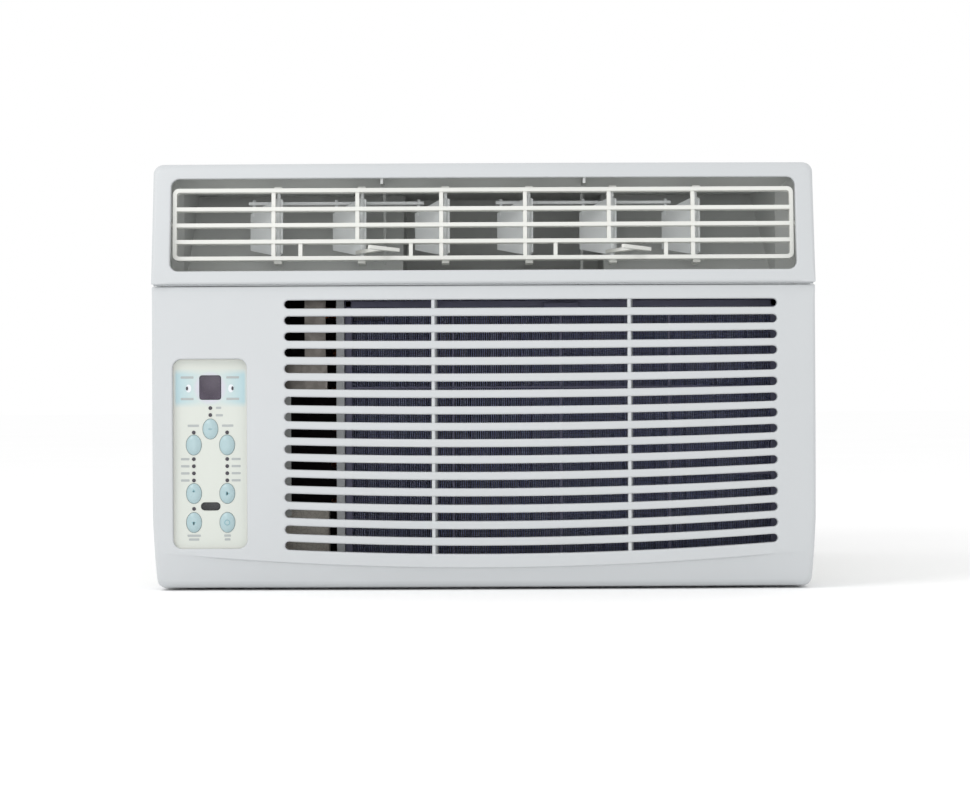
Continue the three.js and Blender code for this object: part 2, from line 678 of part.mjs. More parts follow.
function buildWrapper() {
  const { half, top, front, rear } = CABINET;
  const sideVents = [-half, half].flatMap((x) =>
    steps(110, 230, 6).map((y) => block(x - 4, x + 4, y, y + 8, 150, 285)),
  );
  const topVents = [-120, 120].flatMap((x) =>
    steps(120, 220, 5).map((y) => block(x - 90, x + 90, y, y + 8, top - 4, top + 2)),
  );
  const glandHole = rod("x", 6 + GAP, -half - 5, -half + 5, [GLAND.y, GLAND.z]);
  return cut(sweep("y", hoodShape(), front, rear, 3), ...sideVents, ...topVents, glandHole);
}
add("cabinet_wrapper", "cabinet", buildWrapper());

// Bush in the left side where the supply lead enters, flush outside, its collar inside the sheet.
function buildGland() {
  const { half, sheet } = CABINET;
  const at = [GLAND.y, GLAND.z];
  const collar = -half + sheet + GAP;
  const bush = join(rod("x", 6, -half, -half + 7, at), rod("x", 9, collar, collar + 2.6, at));
  return cut(bush, rod("x", 3.5, -half - 1, -half + 9, at));
}
add("cord_gland", "rubber", buildGland());

// Guard over the condenser: a frame with level bars and two uprights.
function buildRearGuard() {
  const front = CABINET.rear + GAP;
  const frame = cut(
    block(-267, 267, front, REAR, 28, 346),
    block(-257, 257, front - 1, REAR + 1, 38, 336),
  );
  const bars = steps(38, 336, 12).slice(1, -1);
  return join(
    frame,
    ...bars.map((z) => block(-258, 258, REAR - 4, REAR - 1, z - 1.5, z + 1.5)),
    ...[-90, 90].map((x) => block(x - 3, x + 3, REAR - 5, REAR - 0.5, 37, 337)),
  );
}
add("rear_guard", "cabinet", buildRearGuard());

// ---------------------------------------------------------------- coils
// Tube sheet with the return bends of a coil standing out of it.
function buildCoilEnd(side, x, coil, bends) {
  const middle = (coil.front + coil.rear) / 2;
  const [from, to] = [x, x + side * 1.2].sort((a, b) => a - b);
  const sheet = block(from, to, coil.front, coil.rear, coil.low, coil.high);
  const rise = (coil.high - coil.low) / bends;
  const loops = Array.from({ length: bends }, (_, i) => {
    const z = coil.low + rise * (i + 0.5);
    const at = (along, y) => [x + side * along, middle + y, z];
    return pipe([at(0.5, -10), at(6, -9.5), at(10.5, 0), at(6, 9.5), at(0.5, 10)], 3.4, 4);
  });
  return join(sheet, ...loops);
}

function addCoil(name, coil, bends) {
  add(`${name}_coil`, "fins", block(coil.left, coil.right, coil.front, coil.rear, coil.low, coil.high));
  add(`${name}_end_left`, "copper", buildCoilEnd(-1, coil.left - GAP, coil, bends));
  add(`${name}_end_right`, "copper", buildCoilEnd(1, coil.right + GAP, coil, bends));
}
addCoil("evaporator", EVAPORATOR, 7);
addCoil("condenser", CONDENSER, 8);

// Foam tray that carries the evaporator and leads its condensate back.
const drainTray = cut(
  join(
    block(-180, 262, PAN.front + 6, -110, PAN_TOP + GAP, EVAPORATOR.low - GAP),
    block(-180, -134, PAN.front + 6, -190, PAN_TOP + GAP, 66),
  ),
  block(-110, 244, EVAPORATOR.rear + 4, -120, 14, 40),
);
add("drain_tray", "foam", drainTray);

// Steel stay that hangs from the outlet duct beside the evaporator's left end.
const stay = join(
  block(-155, -136.5, -205, -203.5, 186, 263),
  block(-155, -136.5, -205, -188, 261.5, 263),
  block(-178, -135, -208, -203.5, 166, 192),
);
add("coil_stay", "steel", stay);

const coilSensor = join(
  rod("x", 3, -112, -86, [-207.2, 232], 10),
  block(-104, -96, -206, EVAPORATOR.front - GAP, 230, 234),
);
add("coil_sensor", "black", coilSensor);

// ---------------------------------------------------------------- bulkhead between the two air sides
function buildBulkhead() {
  const { front, rear, high } = BULKHEAD;
  const hole = (radius, x, z, sides) => rod("y", radius, front - 4, rear + 4, [x, z], sides);
  return cut(
    block(-266, 266, front, rear, PAN_TOP + GAP, high),
    hole(34, SHAFT.x, SHAFT.z, 20),
    hole(9, -112, 238, 8),
    hole(6, -256, 84, 8),
  );
}
add("bulkhead", "steel", buildBulkhead());

// ---------------------------------------------------------------- blower: wheel in its scroll
// Spiral seen from the room. It opens out from the tongue on the right, under the wheel, to the left.
function scrollShape(grow, top) {
  const tongue = THREE.MathUtils.degToRad(50);
  const turn = THREE.MathUtils.degToRad(230);
  const spiral = steps(0, 1, 16).map((t) => {
    const angle = tongue - turn * t;
    const radius = SCROLL.start + SCROLL.grow * t + grow;
    return [SHAFT.x + radius * Math.cos(angle), SHAFT.z + radius * Math.sin(angle)];
  });
  const left = SHAFT.x - SCROLL.start - SCROLL.grow - grow;
  return polygon([[SHAFT.x + 62 + grow, top], ...spiral, [left, top]]);
}

function buildBlowerHousing() {
  const { front, rear, wall, top } = SCROLL;
  const foot = block(-40, 130, front, rear, EVAPORATOR.low, 75);
  const sump = block(-34, 124, front + 6, rear - 6, EVAPORATOR.low - 1, 50);
  return cut(
    join(sweep("y", scrollShape(wall, top), front, rear), foot),
    sweep("y", scrollShape(0, top + 2), front + wall, rear - wall),
    rod("y", 70, front - 1, front + wall + 1, [SHAFT.x, SHAFT.z], 28),
    rod("y", 24, rear - wall - 1, rear + 1, [SHAFT.x, SHAFT.z], 16),
    sump,
  );
}
add("blower_housing", "foam", buildBlowerHousing());

function buildBlowerWheel() {
  const { radius, inner, front, rear, blades } = WHEEL;
  const blade = (turn) => {
    const made = block(inner + 2, radius - 2, front + 1, rear - 1, -0.8, 0.8);
    const middle = (inner + radius) / 2;
    made.translate(-middle, 0, 0).rotateY(0.6).translate(middle, 0, 0);
    return made.rotateY(turn);
  };
  const wheel = join(
    ring("y", radius, inner, front, front + 4, [0, 0], 28),
    ring("y", radius, SHAFT.radius + GAP, rear - 3, rear, [0, 0], 28),
    ring("y", 16, SHAFT.radius + GAP, rear - 28, rear - 2, [0, 0], 16),
    ...Array.from({ length: blades }, (_, i) => blade((2 * Math.PI * i) / blades)),
  );
  return wheel.translate(SHAFT.x, 0, SHAFT.z);
}
add("blower_wheel", "fan", buildBlowerWheel());

// ---------------------------------------------------------------- fan motor and its shaft
function buildMotor() {
  const frontHalf = [[0, -62], [14, -62], [14, -50], [40, -46], [48, -40]];
  const rearHalf = [[48, 30], [40, 36], [14, 38], [14, 50], [0, 50]];
  const profile = [...frontHalf, ...rearHalf];
  const tabs = [-52, 52].map((x) => block(SHAFT.x + x - 8, SHAFT.x + x + 8, 26, 30, 156, 180));
  return cut(
    join(turned("y", profile, [SHAFT.x, SHAFT.z], 24), ...tabs),
    rod("y", SHAFT.radius + GAP, -70, 60, [SHAFT.x, SHAFT.z]),
  );
}
add("fan_motor", "black", buildMotor());
add("motor_shaft", "steel", rod("y", SHAFT.radius, -124, 172, [SHAFT.x, SHAFT.z], 12));

// Pressed bracket that stands on the pan behind the motor.
const motorBracket = cut(
  join(
    block(SHAFT.x - 66, SHAFT.x + 66, 39, 41.5, PAN_TOP + GAP, 205),
    block(SHAFT.x - 66, SHAFT.x + 66, 39, 80, PAN_TOP + GAP, PAN_TOP + GAP + 2.5),
    block(SHAFT.x - 66, SHAFT.x - 63.5, 39, 70, PAN_TOP + GAP, 120),
    block(SHAFT.x + 63.5, SHAFT.x + 66, 39, 70, PAN_TOP + GAP, 120),
  ),
  rod("y", 20, 36, 44, [SHAFT.x, SHAFT.z], 20),
);
add("motor_bracket", "steel", motorBracket);

const wheelNut = cut(
  rod("y", 11, WHEEL.rear - 36, WHEEL.rear - 28.4, [SHAFT.x, SHAFT.z], 6),
  rod("y", SHAFT.radius + GAP, -130, -90, [SHAFT.x, SHAFT.z]),
);
add("wheel_nut", "steel", wheelNut);

// ---------------------------------------------------------------- condenser fan in its shroud
function buildCondenserFan() {
  const { radius, hub, front, rear, blades, pitch } = FAN;
  const middle = (front + rear) / 2;
  const blade = (turn) => {
    const made = block(hub - 3, radius - 3, -30, 30, -1.1, 1.1);
    made.rotateX(THREE.MathUtils.degToRad(pitch));
    return made.rotateY(turn).translate(0, middle, 0);
  };
  const fan = join(
    ring("y", hub, SHAFT.radius + GAP, front + 4, rear - 4, [0, 0], 20),
    ring("y", radius, radius - 4, middle - 5, middle + 5, [0, 0], 32),
    ...Array.from({ length: blades }, (_, i) => blade((2 * Math.PI * i) / blades)),
  );
  return fan.translate(SHAFT.x, 0, SHAFT.z);
}
add("condenser_fan", "fan", buildCondenserFan());

function buildShroud() {
  const { front, plate, radius } = SHROUD;
  const at = [SHAFT.x, SHAFT.z];
  const pipeWays = [59, 304.5].map((z) => rod("y", 6, plate - 1, plate + 3, [-258, z], 8));
  return cut(
    join(
      block(-262, 262, plate, plate + 2, PAN_TOP + GAP, BULKHEAD.high),
      rod("y", radius + 2, front, plate + 1, at, 36),
      block(-262, 262, plate, CONDENSER.front - 3, BULKHEAD.high - 2, BULKHEAD.high),
    ),
    rod("y", radius, front - 1, plate + 3, at, 36),
    ...pipeWays,
  );
}
add("fan_shroud", "fan", buildShroud());

// ---------------------------------------------------------------- compressor set
const FEET = [90, 210, 330].map((degrees) => roundEnd(COMPRESSOR.x, COMPRESSOR.y, 62, degrees));

function buildCompressor() {
  const { x, y, radius, low, high } = COMPRESSOR;
  const can = [
    [0, low],
    [radius - 8, low],
    [radius, low + 10],
    [radius, high - 26],
    [radius - 8, high - 12],
    [radius - 28, high - 3],
    [0, high],
  ];
  const plate = low - 2.5;
  const pads = FEET.map(([u, v]) => rod("z", 13, plate, plate + 3, [u, v], 10));
  const web = rod("z", 50, plate, plate + 3, [x, y], 6);
  const terminals = block(x - 18, x + 18, y - radius - 12, y - radius + 12, 150, 196);
  return join(turned("z", can, [x, y], 28), web, ...pads, terminals);
}
add("compressor", "black", buildCompressor());
FEET.forEach((foot, i) => {
  const mount = ring("z", 11, 4, PAN_TOP + GAP, COMPRESSOR.low - 2.5 - GAP, foot, 12);
  add(`compressor_mount_${i + 1}`, "rubber", mount);
});

const CAN = { x: -98, y: 66, radius: 20, low: 84, high: 196 };

function buildAccumulator() {
  const { x, y, radius, low, high } = CAN;
  const foot = [[0, low], [radius - 8, low], [radius, low + 9]];
  const head = [[radius, high - 9], [radius - 8, high], [0, high]];
  const edge = COMPRESSOR.x + COMPRESSOR.radius + GAP;
  const route = [[x, y, low + 4], [x, y, 66], [x - 8, y - 5, 58], [edge + 1, COMPRESSOR.y + 6, 58]];
  return join(turned("z", [...foot, ...head], [x, y], 16), pipe(route, 4.5, 8));
}
add("accumulator", "black", buildAccumulator());

// ---------------------------------------------------------------- refrigerant pipes
const suctionRoute = [
  [EVAPORATOR.left - 19, -184.5, 236],
  [-144, -172, 238],
  [-128, -140, 238],
  [-112, -90, 238],
  [-112, -30, 238],
  [-110, 20, 240],
  [CAN.x, CAN.y - 12, 234],
  [CAN.x, CAN.y, CAN.high + 1.5],
];
const dischargeRoute = [
  [COMPRESSOR.x + 12, COMPRESSOR.y, COMPRESSOR.high],
  [COMPRESSOR.x + 12, COMPRESSOR.y, 262],
  [COMPRESSOR.x, 80, 282],
  [-230, 120, 296],
  [-258, 160, 304],
  [-258, 212, 306],
  [CONDENSER.left - 16, 222, 306],
];
const liquidRoute = [
  [CONDENSER.left - 16, 222, 52],
  [-258, 200, 54],
  [-256, 140, 66],
  [-256, 20, 80],
  [-256, -54, 84],
  [-240, -110, 84],
  [-180, -160, 66],
  [-146, -176, 52],
  [EVAPORATOR.left - 18, -184.5, 52],
];
add("suction_pipe", "copper", pipe(suctionRoute, 5, 26));
add("discharge_pipe", "copper", pipe(dischargeRoute, 4, 20));
add("liquid_line", "copper", pipe(liquidRoute, 3, 30));

// ---------------------------------------------------------------- electrical box beside the blower
function buildControlBox() {
  const outer = block(-264, -178, -150, -62, 110, 250);
  return cut(outer, block(-262.5, -179.5, -148.5, -63.5, 111.5, 252));
}
add("control_box", "steel", buildControlBox());
add("run_capacitor", "steel", rod("z", 22, 112, 196, [-215, -106], 20));

export default unit;
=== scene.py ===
"""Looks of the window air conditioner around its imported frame: metres, +Z up, room side at -Y."""
import math

import bmesh
import bpy
import numpy as np
from mathutils import Matrix, Vector
from mathutils.geometry import delaunay_2d_cdt


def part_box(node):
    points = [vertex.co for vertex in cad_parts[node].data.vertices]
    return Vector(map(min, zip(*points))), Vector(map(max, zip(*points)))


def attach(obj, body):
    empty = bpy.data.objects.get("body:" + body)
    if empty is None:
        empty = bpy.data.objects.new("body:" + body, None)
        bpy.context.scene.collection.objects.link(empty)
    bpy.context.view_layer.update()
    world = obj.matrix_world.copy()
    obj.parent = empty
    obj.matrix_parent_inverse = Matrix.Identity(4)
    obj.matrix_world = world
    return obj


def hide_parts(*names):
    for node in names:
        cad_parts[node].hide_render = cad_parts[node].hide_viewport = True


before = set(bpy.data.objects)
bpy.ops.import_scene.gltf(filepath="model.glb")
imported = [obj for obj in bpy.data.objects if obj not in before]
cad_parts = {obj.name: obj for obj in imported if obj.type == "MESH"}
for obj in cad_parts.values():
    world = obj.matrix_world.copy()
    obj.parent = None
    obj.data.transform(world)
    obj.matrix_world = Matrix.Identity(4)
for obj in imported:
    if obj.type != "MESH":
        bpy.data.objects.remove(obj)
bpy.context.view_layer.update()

MM = 0.001

# ---------------------------------------------------------------- driving dimensions
FRAME_LOW, FRAME_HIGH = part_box("front_frame")
FRONT = FRAME_LOW.y
HALF = FRAME_HIGH.x
TOP = FRAME_HIGH.z
BOTTOM = FRAME_LOW.z
FRAME_REAR = FRAME_HIGH.y
DOOR_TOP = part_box("inlet_grille")[1].z
DOOR_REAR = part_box("inlet_grille")[1].y
SKIN = 3 * MM
BULGE = 5 * MM
EDGE_STEPS = 4  # facets round a moulded edge
SEAM_GAP = 1.8 * MM
BEZEL_LOW = DOOR_TOP + SEAM_GAP
BEZEL_LEAN = math.tan(math.radians(11.5))
LOWER_TAPER = 3 * MM  # how much narrower each side is at the bottom

# outlet opening, inlet slots with the two ribs behind them, window for the control plate
MOUTH = {"half": 264.5 * MM, "low": 270 * MM, "high": 349 * MM, "corner": 7 * MM}
SLOT = {"count": 16, "low": 34.3 * MM, "pitch": 13.83 * MM, "height": 7 * MM, "bow": 0.149}
SLOT_LEFT, SLOT_RIGHT = -168 * MM, 247.5 * MM
SLOT_RIBS = (-44 * MM, 121.3 * MM)
WINDOW = {"left": -262.5 * MM, "right": -199.8 * MM, "low": 36 * MM, "high": 196 * MM, "corner": 7.5 * MM}

# the grille's crease and its crown, its hinge
CREASE = {
    "low": 19.8 * MM, "rise": 0.177, "step": 1.6 * MM, "drop": 1.3 * MM,
    "turn": 4.5 * MM, "tuck": 3 * MM, "end": 274 * MM, "fade": 50 * MM,
}
CROWN = {"least": 2.4 * MM, "more": 2.2 * MM, "middle": 140 * MM, "reach": 118 * MM}
HINGE = {"y": -249 * MM, "z": 16 * MM, "arm": 5 * MM, "inner": 258 * MM, "outer": 268 * MM}
RIM_REAR = -216 * MM  # where the bezel's walls along the seam and the hinge lugs end

PLATE_LOW, PLATE_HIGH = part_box("control_plate")
PLATE_X = (PLATE_LOW.x + PLATE_HIGH.x) / 2
PLATE_BAND = 171.5 * MM  # middle height of the plate's blue band
BUTTON_FOOT = 1.2 * MM  # how far a button's foot stands out beyond its cap
BUTTON_NODES = [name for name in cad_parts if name.startswith("button_")]

# prints and lamps on the plate, in mm from its middle line and in mm above the floor
DASH_HALF = 0.95
LAMP_ROWS = (111.6, 105.6, 99.6, 93.6)
LAMP_COLUMN = 14.1
LAMPS = [(0, 154.7), (0, 148.8), (-LAMP_COLUMN, 134.1), (LAMP_COLUMN, 134.1), (-LAMP_COLUMN, 69.6)]
LAMPS += [(x, z) for x in (-LAMP_COLUMN, LAMP_COLUMN) for z in LAMP_ROWS]
SIDE_LAMPS = [(-19.6, 171.3), (18.8, 171.3)]


# ---------------------------------------------------------------- materials
class Nodes:
    """Small helper around one material's node tree."""

    def __init__(self, name):
        self.material = bpy.data.materials.new(name)
        self.material.use_nodes = True
        self.tree = self.material.node_tree
        self.shader = self.tree.nodes["Principled BSDF"]
        self.place = self.add("ShaderNodeTexCoord").outputs["Object"]

    def add(self, kind, **values):
        node = self.tree.nodes.new(kind)
        for key, value in values.items():
            if hasattr(node, key):
                setattr(node, key, value)
            else:
                node.inputs[key.replace("_", " ")].default_value = value
        return node

    def link(self, source, target):
        self.tree.links.new(source, target)

    def noise(self, scale, detail, stretch=(1, 1, 1)):
        mapping = self.add("ShaderNodeMapping")
        mapping.inputs["Scale"].default_value = stretch
        noise = self.add("ShaderNodeTexNoise", Scale=scale, Detail=detail)
        self.link(self.place, mapping.inputs["Vector"])
        self.link(mapping.outputs["Vector"], noise.inputs["Vector"])
        return noise.outputs["Fac"]

    def ranged(self, value, low, high, start=0.3, end=0.7):
        node = self.add("ShaderNodeMapRange")
        for key, number in (("From Min", start), ("From Max", end), ("To Min", low), ("To Max", high)):
            node.inputs[key].default_value = number
        self.link(value, node.inputs["Value"])
        return node.outputs["Result"]

    def mix(self, factor, first, second):
        node = self.add("ShaderNodeMix", data_type="RGBA")
        self.link(factor, node.inputs["Factor"])
        for socket, colour in ((6, first), (7, second)):
            if isinstance(colour, tuple):
                node.inputs[socket].default_value = (*colour, 1)
            else:
                self.link(colour, node.inputs[socket])
        return node.outputs[2]

    def bump(self, height, strength, distance):
        node = self.add("ShaderNodeBump", Strength=strength, Distance=distance)
        self.link(height, node.inputs["Height"])
        self.link(node.outputs["Normal"], self.shader.inputs["Normal"])

    def set(self, **values):
        for key, value in values.items():
            self.shader.inputs[key.replace("_", " ")].default_value = value


def linear(red, green, blue):
    """Colour sockets take linear values; these are given as screen values from 0 to 255."""
    def one(value):
        v = value / 255
        return v / 12.92 if v <= 0.04045 else ((v + 0.055) / 1.055) ** 2.4
    return (one(red), one(green), one(blue))


def shade(colour, factor):
    """A lighter or darker colour."""
    return tuple(min(1.0, c * factor) for c in colour)


def moulded(name, colour, roughness, grain, drift):
    """Moulded plastic: fine etched grain, slow drift in tone and gloss."""
    made = Nodes(name)
    slow = made.noise(9, 2)
    tone = made.mix(made.ranged(slow, 0, 1), shade(colour, 1 - drift), shade(colour, 1 + drift))
    made.link(tone, made.shader.inputs["Base Color"])
    made.link(made.ranged(made.noise(60, 3), roughness - 0.04, roughness + 0.05),
              made.shader.inputs["Roughness"])
    made.bump(made.noise(1500, 2), grain, 0.05 * MM)
    made.set(IOR=1.5)
    return made.material


def metal(name, colour, roughness, scale, drift):
    """Bare metal with cloudy tone and uneven polish."""
    made = Nodes(name)
    cloud = made.noise(scale, 5)
    tone = made.mix(made.ranged(cloud, 0, 1), shade(colour, 1 - drift), shade(colour, 1 + drift))
    made.link(tone, made.shader.inputs["Base Color"])
    made.link(made.ranged(made.noise(scale * 3, 3), roughness - 0.08, roughness + 0.12),
              made.shader.inputs["Roughness"])
    made.bump(made.noise(scale * 8, 2), 0.1, 0.1 * MM)
    made.set(Metallic=1.0)
    return made.material


def galvanised(name, dark, light):
    """Zinc-coated sheet with its crystal spangle."""
    made = Nodes(name)
    spangle = made.add("ShaderNodeTexVoronoi", Scale=240)
    made.link(made.place, spangle.inputs["Vector"])
    value = made.add("ShaderNodeSeparateColor")
    made.link(spangle.outputs["Color"], value.inputs["Color"])
    tone = made.mix(value.outputs["Red"], dark, light)
    made.link(tone, made.shader.inputs["Base Color"])
    made.link(made.ranged(value.outputs["Green"], 0.4, 0.5, 0, 1), made.shader.inputs["Roughness"])
    made.set(Metallic=0.9)
    return made.material


def painted(name, colour, roughness=0.4):
    """Powder coat: fine orange peel over a slow drift in tone."""
    made = Nodes(name)
    tone = made.mix(made.ranged(made.noise(7, 3), 0, 1), shade(colour, 0.97), shade(colour, 1.02))
    made.link(tone, made.shader.inputs["Base Color"])
    made.link(made.ranged(made.noise(120, 2), roughness - 0.05, roughness + 0.06),
              made.shader.inputs["Roughness"])
    made.bump(made.noise(700, 2), 0.12, 0.1 * MM)
    return made.material


def foam(name, colour):
    """Expanded bead foam: pressed beads with darker joints."""
    made = Nodes(name)
    beads = made.add("ShaderNodeTexVoronoi", Scale=260, feature="DISTANCE_TO_EDGE")
    made.link(made.place, beads.inputs["Vector"])
    edge = made.ranged(beads.outputs["Distance"], 0, 1, 0, 0.12)
    made.link(made.mix(edge, shade(colour, 0.82), colour), made.shader.inputs["Base Color"])
    made.bump(edge, 0.35, 0.3 * MM)
    made.set(Roughness=0.85)
    return made.material


def fins(name, colour, coat):
    """Coil fin sheet: thin bluish aluminium with a streaky film."""
    made = Nodes(name)
    streak = made.noise(30, 4, (4, 4, 0.6))
    made.link(made.mix(made.ranged(streak, 0, 1), colour, coat), made.shader.inputs["Base Color"])
    made.link(made.ranged(made.noise(80, 3), 0.35, 0.6), made.shader.inputs["Roughness"])
    made.set(Metallic=0.55)
    return made.material


def board(name):
    """Lacquered circuit board with faint copper tracks under the green."""
    made = Nodes(name)
    tracks = made.add("ShaderNodeTexBrick", Scale=90)
    made.link(made.place, tracks.inputs["Vector"])
    made.link(made.mix(tracks.outputs["Fac"], linear(24, 92, 58), linear(52, 128, 74)),
              made.shader.inputs["Base Color"])
    made.set(Roughness=0.3)
    return made.material


def glass(name, colour):
    """Tinted lens that hides what is behind it, with a faint cloud under its gloss."""
    made = Nodes(name)
    cloud = made.noise(70, 2)
    made.link(made.mix(made.ranged(cloud, 0, 1), shade(colour, 0.85), shade(colour, 1.2)),
              made.shader.inputs["Base Color"])
    made.link(made.ranged(made.noise(400, 2), 0.2, 0.3), made.shader.inputs["Roughness"])
    made.set(Specular_IOR_Level=0.35, Coat_Weight=0.1, Coat_Roughness=0.1)
    return made.material


def rubber(name, colour):
    """Matt rubber with a cloudy tone."""
    made = Nodes(name)
    made.link(made.mix(made.ranged(made.noise(50, 4), 0, 1), shade(colour, 0.8), shade(colour, 1.3)),
              made.shader.inputs["Base Color"])
    made.bump(made.noise(900, 2), 0.2, 0.1 * MM)
    made.set(Roughness=0.8)
    return made.material


def plate_print_and_rim_highlight(name, colour, edge, band, halo):
    """Control plate film: pale border that is partly the film's cream and partly painted highlight on its
    rounded rim, a blue band that is deepest at its two ends, a grey halo.
    """
    made = Nodes(name)
    parts = made.add("ShaderNodeSeparateXYZ")
    made.link(made.place, parts.inputs["Vector"])

    def away(axis, centre):
        """Distance from a centre along one axis."""
        shift = made.add("ShaderNodeMath", operation="SUBTRACT")
        made.link(parts.outputs[axis], shift.inputs[0])
        shift.inputs[1].default_value = centre
        size = made.add("ShaderNodeMath", operation="ABSOLUTE")
        made.link(shift.outputs[0], size.inputs[0])
        return size.outputs[0]

    def product(first, second, operation="MULTIPLY"):
        node = made.add("ShaderNodeMath", operation=operation)
        made.link(first, node.inputs[0])
        made.link(second, node.inputs[1])
        return node.outputs[0]

    across = away("X", PLATE_X)
    level = away("Z", PLATE_BAND)
    upright = away("Z", (PLATE_LOW.z + PLATE_HIGH.z) / 2)
    in_band = made.ranged(level, 1, 0, 11.5 * MM, 16.5 * MM)
    outward = made.ranged(across, 0.35, 1, 8 * MM, 29 * MM)
    printed = made.mix(product(in_band, outward), colour, band)
    square = product(product(across, across), product(level, level), "ADD")
    ring = made.ranged(square, 1, 0, (11 * MM) ** 2, (14.5 * MM) ** 2)
    printed = made.mix(ring, printed, halo)
    # Lighter colour within about 3 mm of the plate's rim: painted highlight on its rounded border, over the
    # film's pale cream.
    rim_highlight = product(made.ranged(across, 0, 1, 28.5 * MM, 31 * MM),
                     made.ranged(upright, 0, 1, 77 * MM, 80 * MM), "MAXIMUM")
    made.link(made.mix(rim_highlight, printed, edge), made.shader.inputs["Base Color"])
    made.link(made.ranged(made.noise(60, 3), 0.32, 0.42), made.shader.inputs["Roughness"])
    made.bump(made.noise(1500, 2), 0.02, 0.05 * MM)
    return made.material


MATERIALS = {
    "panel": moulded("panel_plastic", linear(193, 196, 198), 0.44, 0.05, 0.012),
    "louver": moulded("louver_plastic", linear(216, 217, 212), 0.42, 0.04, 0.015),
    "vane": moulded("vane_plastic", linear(236, 239, 240), 0.36, 0.03, 0.015),
    "duct": moulded("duct_plastic", linear(203, 205, 203), 0.6, 0.08, 0.04),
    # The second colour is the plate's rim, lightened as painted highlight on its rounding.
    "plate": plate_print_and_rim_highlight("plate_film", linear(203, 207, 200), linear(211, 212, 205), linear(170, 198, 204),
                           linear(196, 197, 206)),
    "button": moulded("button_plastic", linear(166, 189, 193), 0.3, 0.02, 0.02),
    "sign": moulded("button_print", linear(128, 168, 176), 0.4, 0.02, 0.03),
    "print": moulded("grey_print", linear(166, 171, 171), 0.5, 0.02, 0.03),
    "pale": moulded("pale_print", linear(218, 222, 226), 0.4, 0.02, 0.02),
    # Bulkhead lining: its dark maroon colour is partly painted shade for the deep space behind the left
    # slots.
    "lining": foam("lining_painted_dark_shade", linear(48, 40, 42)),
    "lamp": glass("lamp_lens", linear(62, 58, 66)),
    "lens": glass("display_glass", linear(62, 54, 68)),
    "receiver": glass("receiver_glass", linear(40, 42, 44)),
    "foam": foam("bead_foam", linear(214, 208, 198)),
    "steel": galvanised("galvanised_sheet", linear(172, 176, 179), linear(184, 188, 191)),
    "dull_steel": galvanised("dull_sheet", linear(134, 129, 124), linear(146, 141, 136)),
    "cabinet": painted("cabinet_paint", linear(206, 208, 205)),
    "evaporator": fins("evaporator_fins", linear(176, 184, 222), linear(208, 216, 242)),
    "condenser": fins("condenser_fins", linear(128, 138, 148), linear(170, 176, 182)),
    "copper": metal("copper_tube", linear(190, 118, 82), 0.32, 60, 0.18),
    "bright": metal("turned_steel", linear(190, 192, 194), 0.25, 80, 0.06),
    "black": painted("black_enamel", linear(38, 39, 41), 0.32),
    "fan": moulded("fan_plastic", linear(58, 61, 66), 0.5, 0.08, 0.05),
    "net": moulded("filter_net", linear(108, 108, 130), 0.6, 0.05, 0.05),
    "board": board("circuit_board"),
    "rubber": rubber("rubber", linear(30, 30, 32)),
}


# ---------------------------------------------------------------- making pieces
def piece(name, solid, material, body, stands_for=(), smooth=35, weighted=True):
    """A mesh piece in the row frame that rides on a body."""
    mesh = bpy.data.meshes.new(name)
    mesh.from_pydata(solid.vertices, [], solid.faces)
    mesh.validate()
    bm = bmesh.new()
    bm.from_mesh(mesh)
    bmesh.ops.remove_doubles(bm, verts=bm.verts, dist=1e-6)
    bmesh.ops.recalc_face_normals(bm, faces=bm.faces)
    bm.to_mesh(mesh)
    bm.free()
    mesh.polygons.foreach_set("use_smooth", [True] * len(mesh.polygons))
    mesh.set_sharp_from_angle(angle=math.radians(smooth))
    mesh.materials.append(MATERIALS[material])
    made = bpy.data.objects.new(name, mesh)
    bpy.context.scene.collection.objects.link(made)
    if weighted:
        made.modifiers.new("even_normals", "WEIGHTED_NORMAL").keep_sharp = True
    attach(made, body)
    if stands_for:
        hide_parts(*stands_for)
    return made


class Solid:
    """Collects the vertices and faces of one piece."""

    def __init__(self):
        self.vertices = []
        self.faces = []

    def add(self, vertices, faces):
        start = len(self.vertices)
        self.vertices.extend(tuple(map(float, v)) for v in vertices)
        self.faces.extend([start + i for i in face] for face in faces)

    def rings(self, rings):
        """Skins a list of rings with the same number of points, and caps both ends."""
        count = len(rings[0])
        flat = [point for ring in rings for point in ring]
        faces = []
        for r in range(len(rings) - 1):
            for i in range(count):
                a = r * count + i
                b = r * count + (i + 1) % count
                faces.append([a, b, b + count, a + count])
        faces.append(list(range(count))[::-1])
        faces.append([(len(rings) - 1) * count + i for i in range(count)])
        self.add(flat, faces)

    def bar(self, low, high, radius=0.5 * MM):
        """A block with rounded edges."""
        bm = bmesh.new()
        bmesh.ops.create_cube(bm, size=1)
        size = [high[i] - low[i] for i in range(3)]
        middle = [(high[i] + low[i]) / 2 for i in range(3)]
        for vertex in bm.verts:
            vertex.co = Vector([vertex.co[i] * size[i] + middle[i] for i in range(3)])
        radius = min(radius, 0.45 * min(size))
        bmesh.ops.bevel(bm, geom=bm.edges[:], offset=radius, segments=2, affect="EDGES", profile=0.5)
        bm.verts.ensure_lookup_table()
        self.add([v.co for v in bm.verts], [[v.index for v in f.verts] for f in bm.faces])
        bm.free()


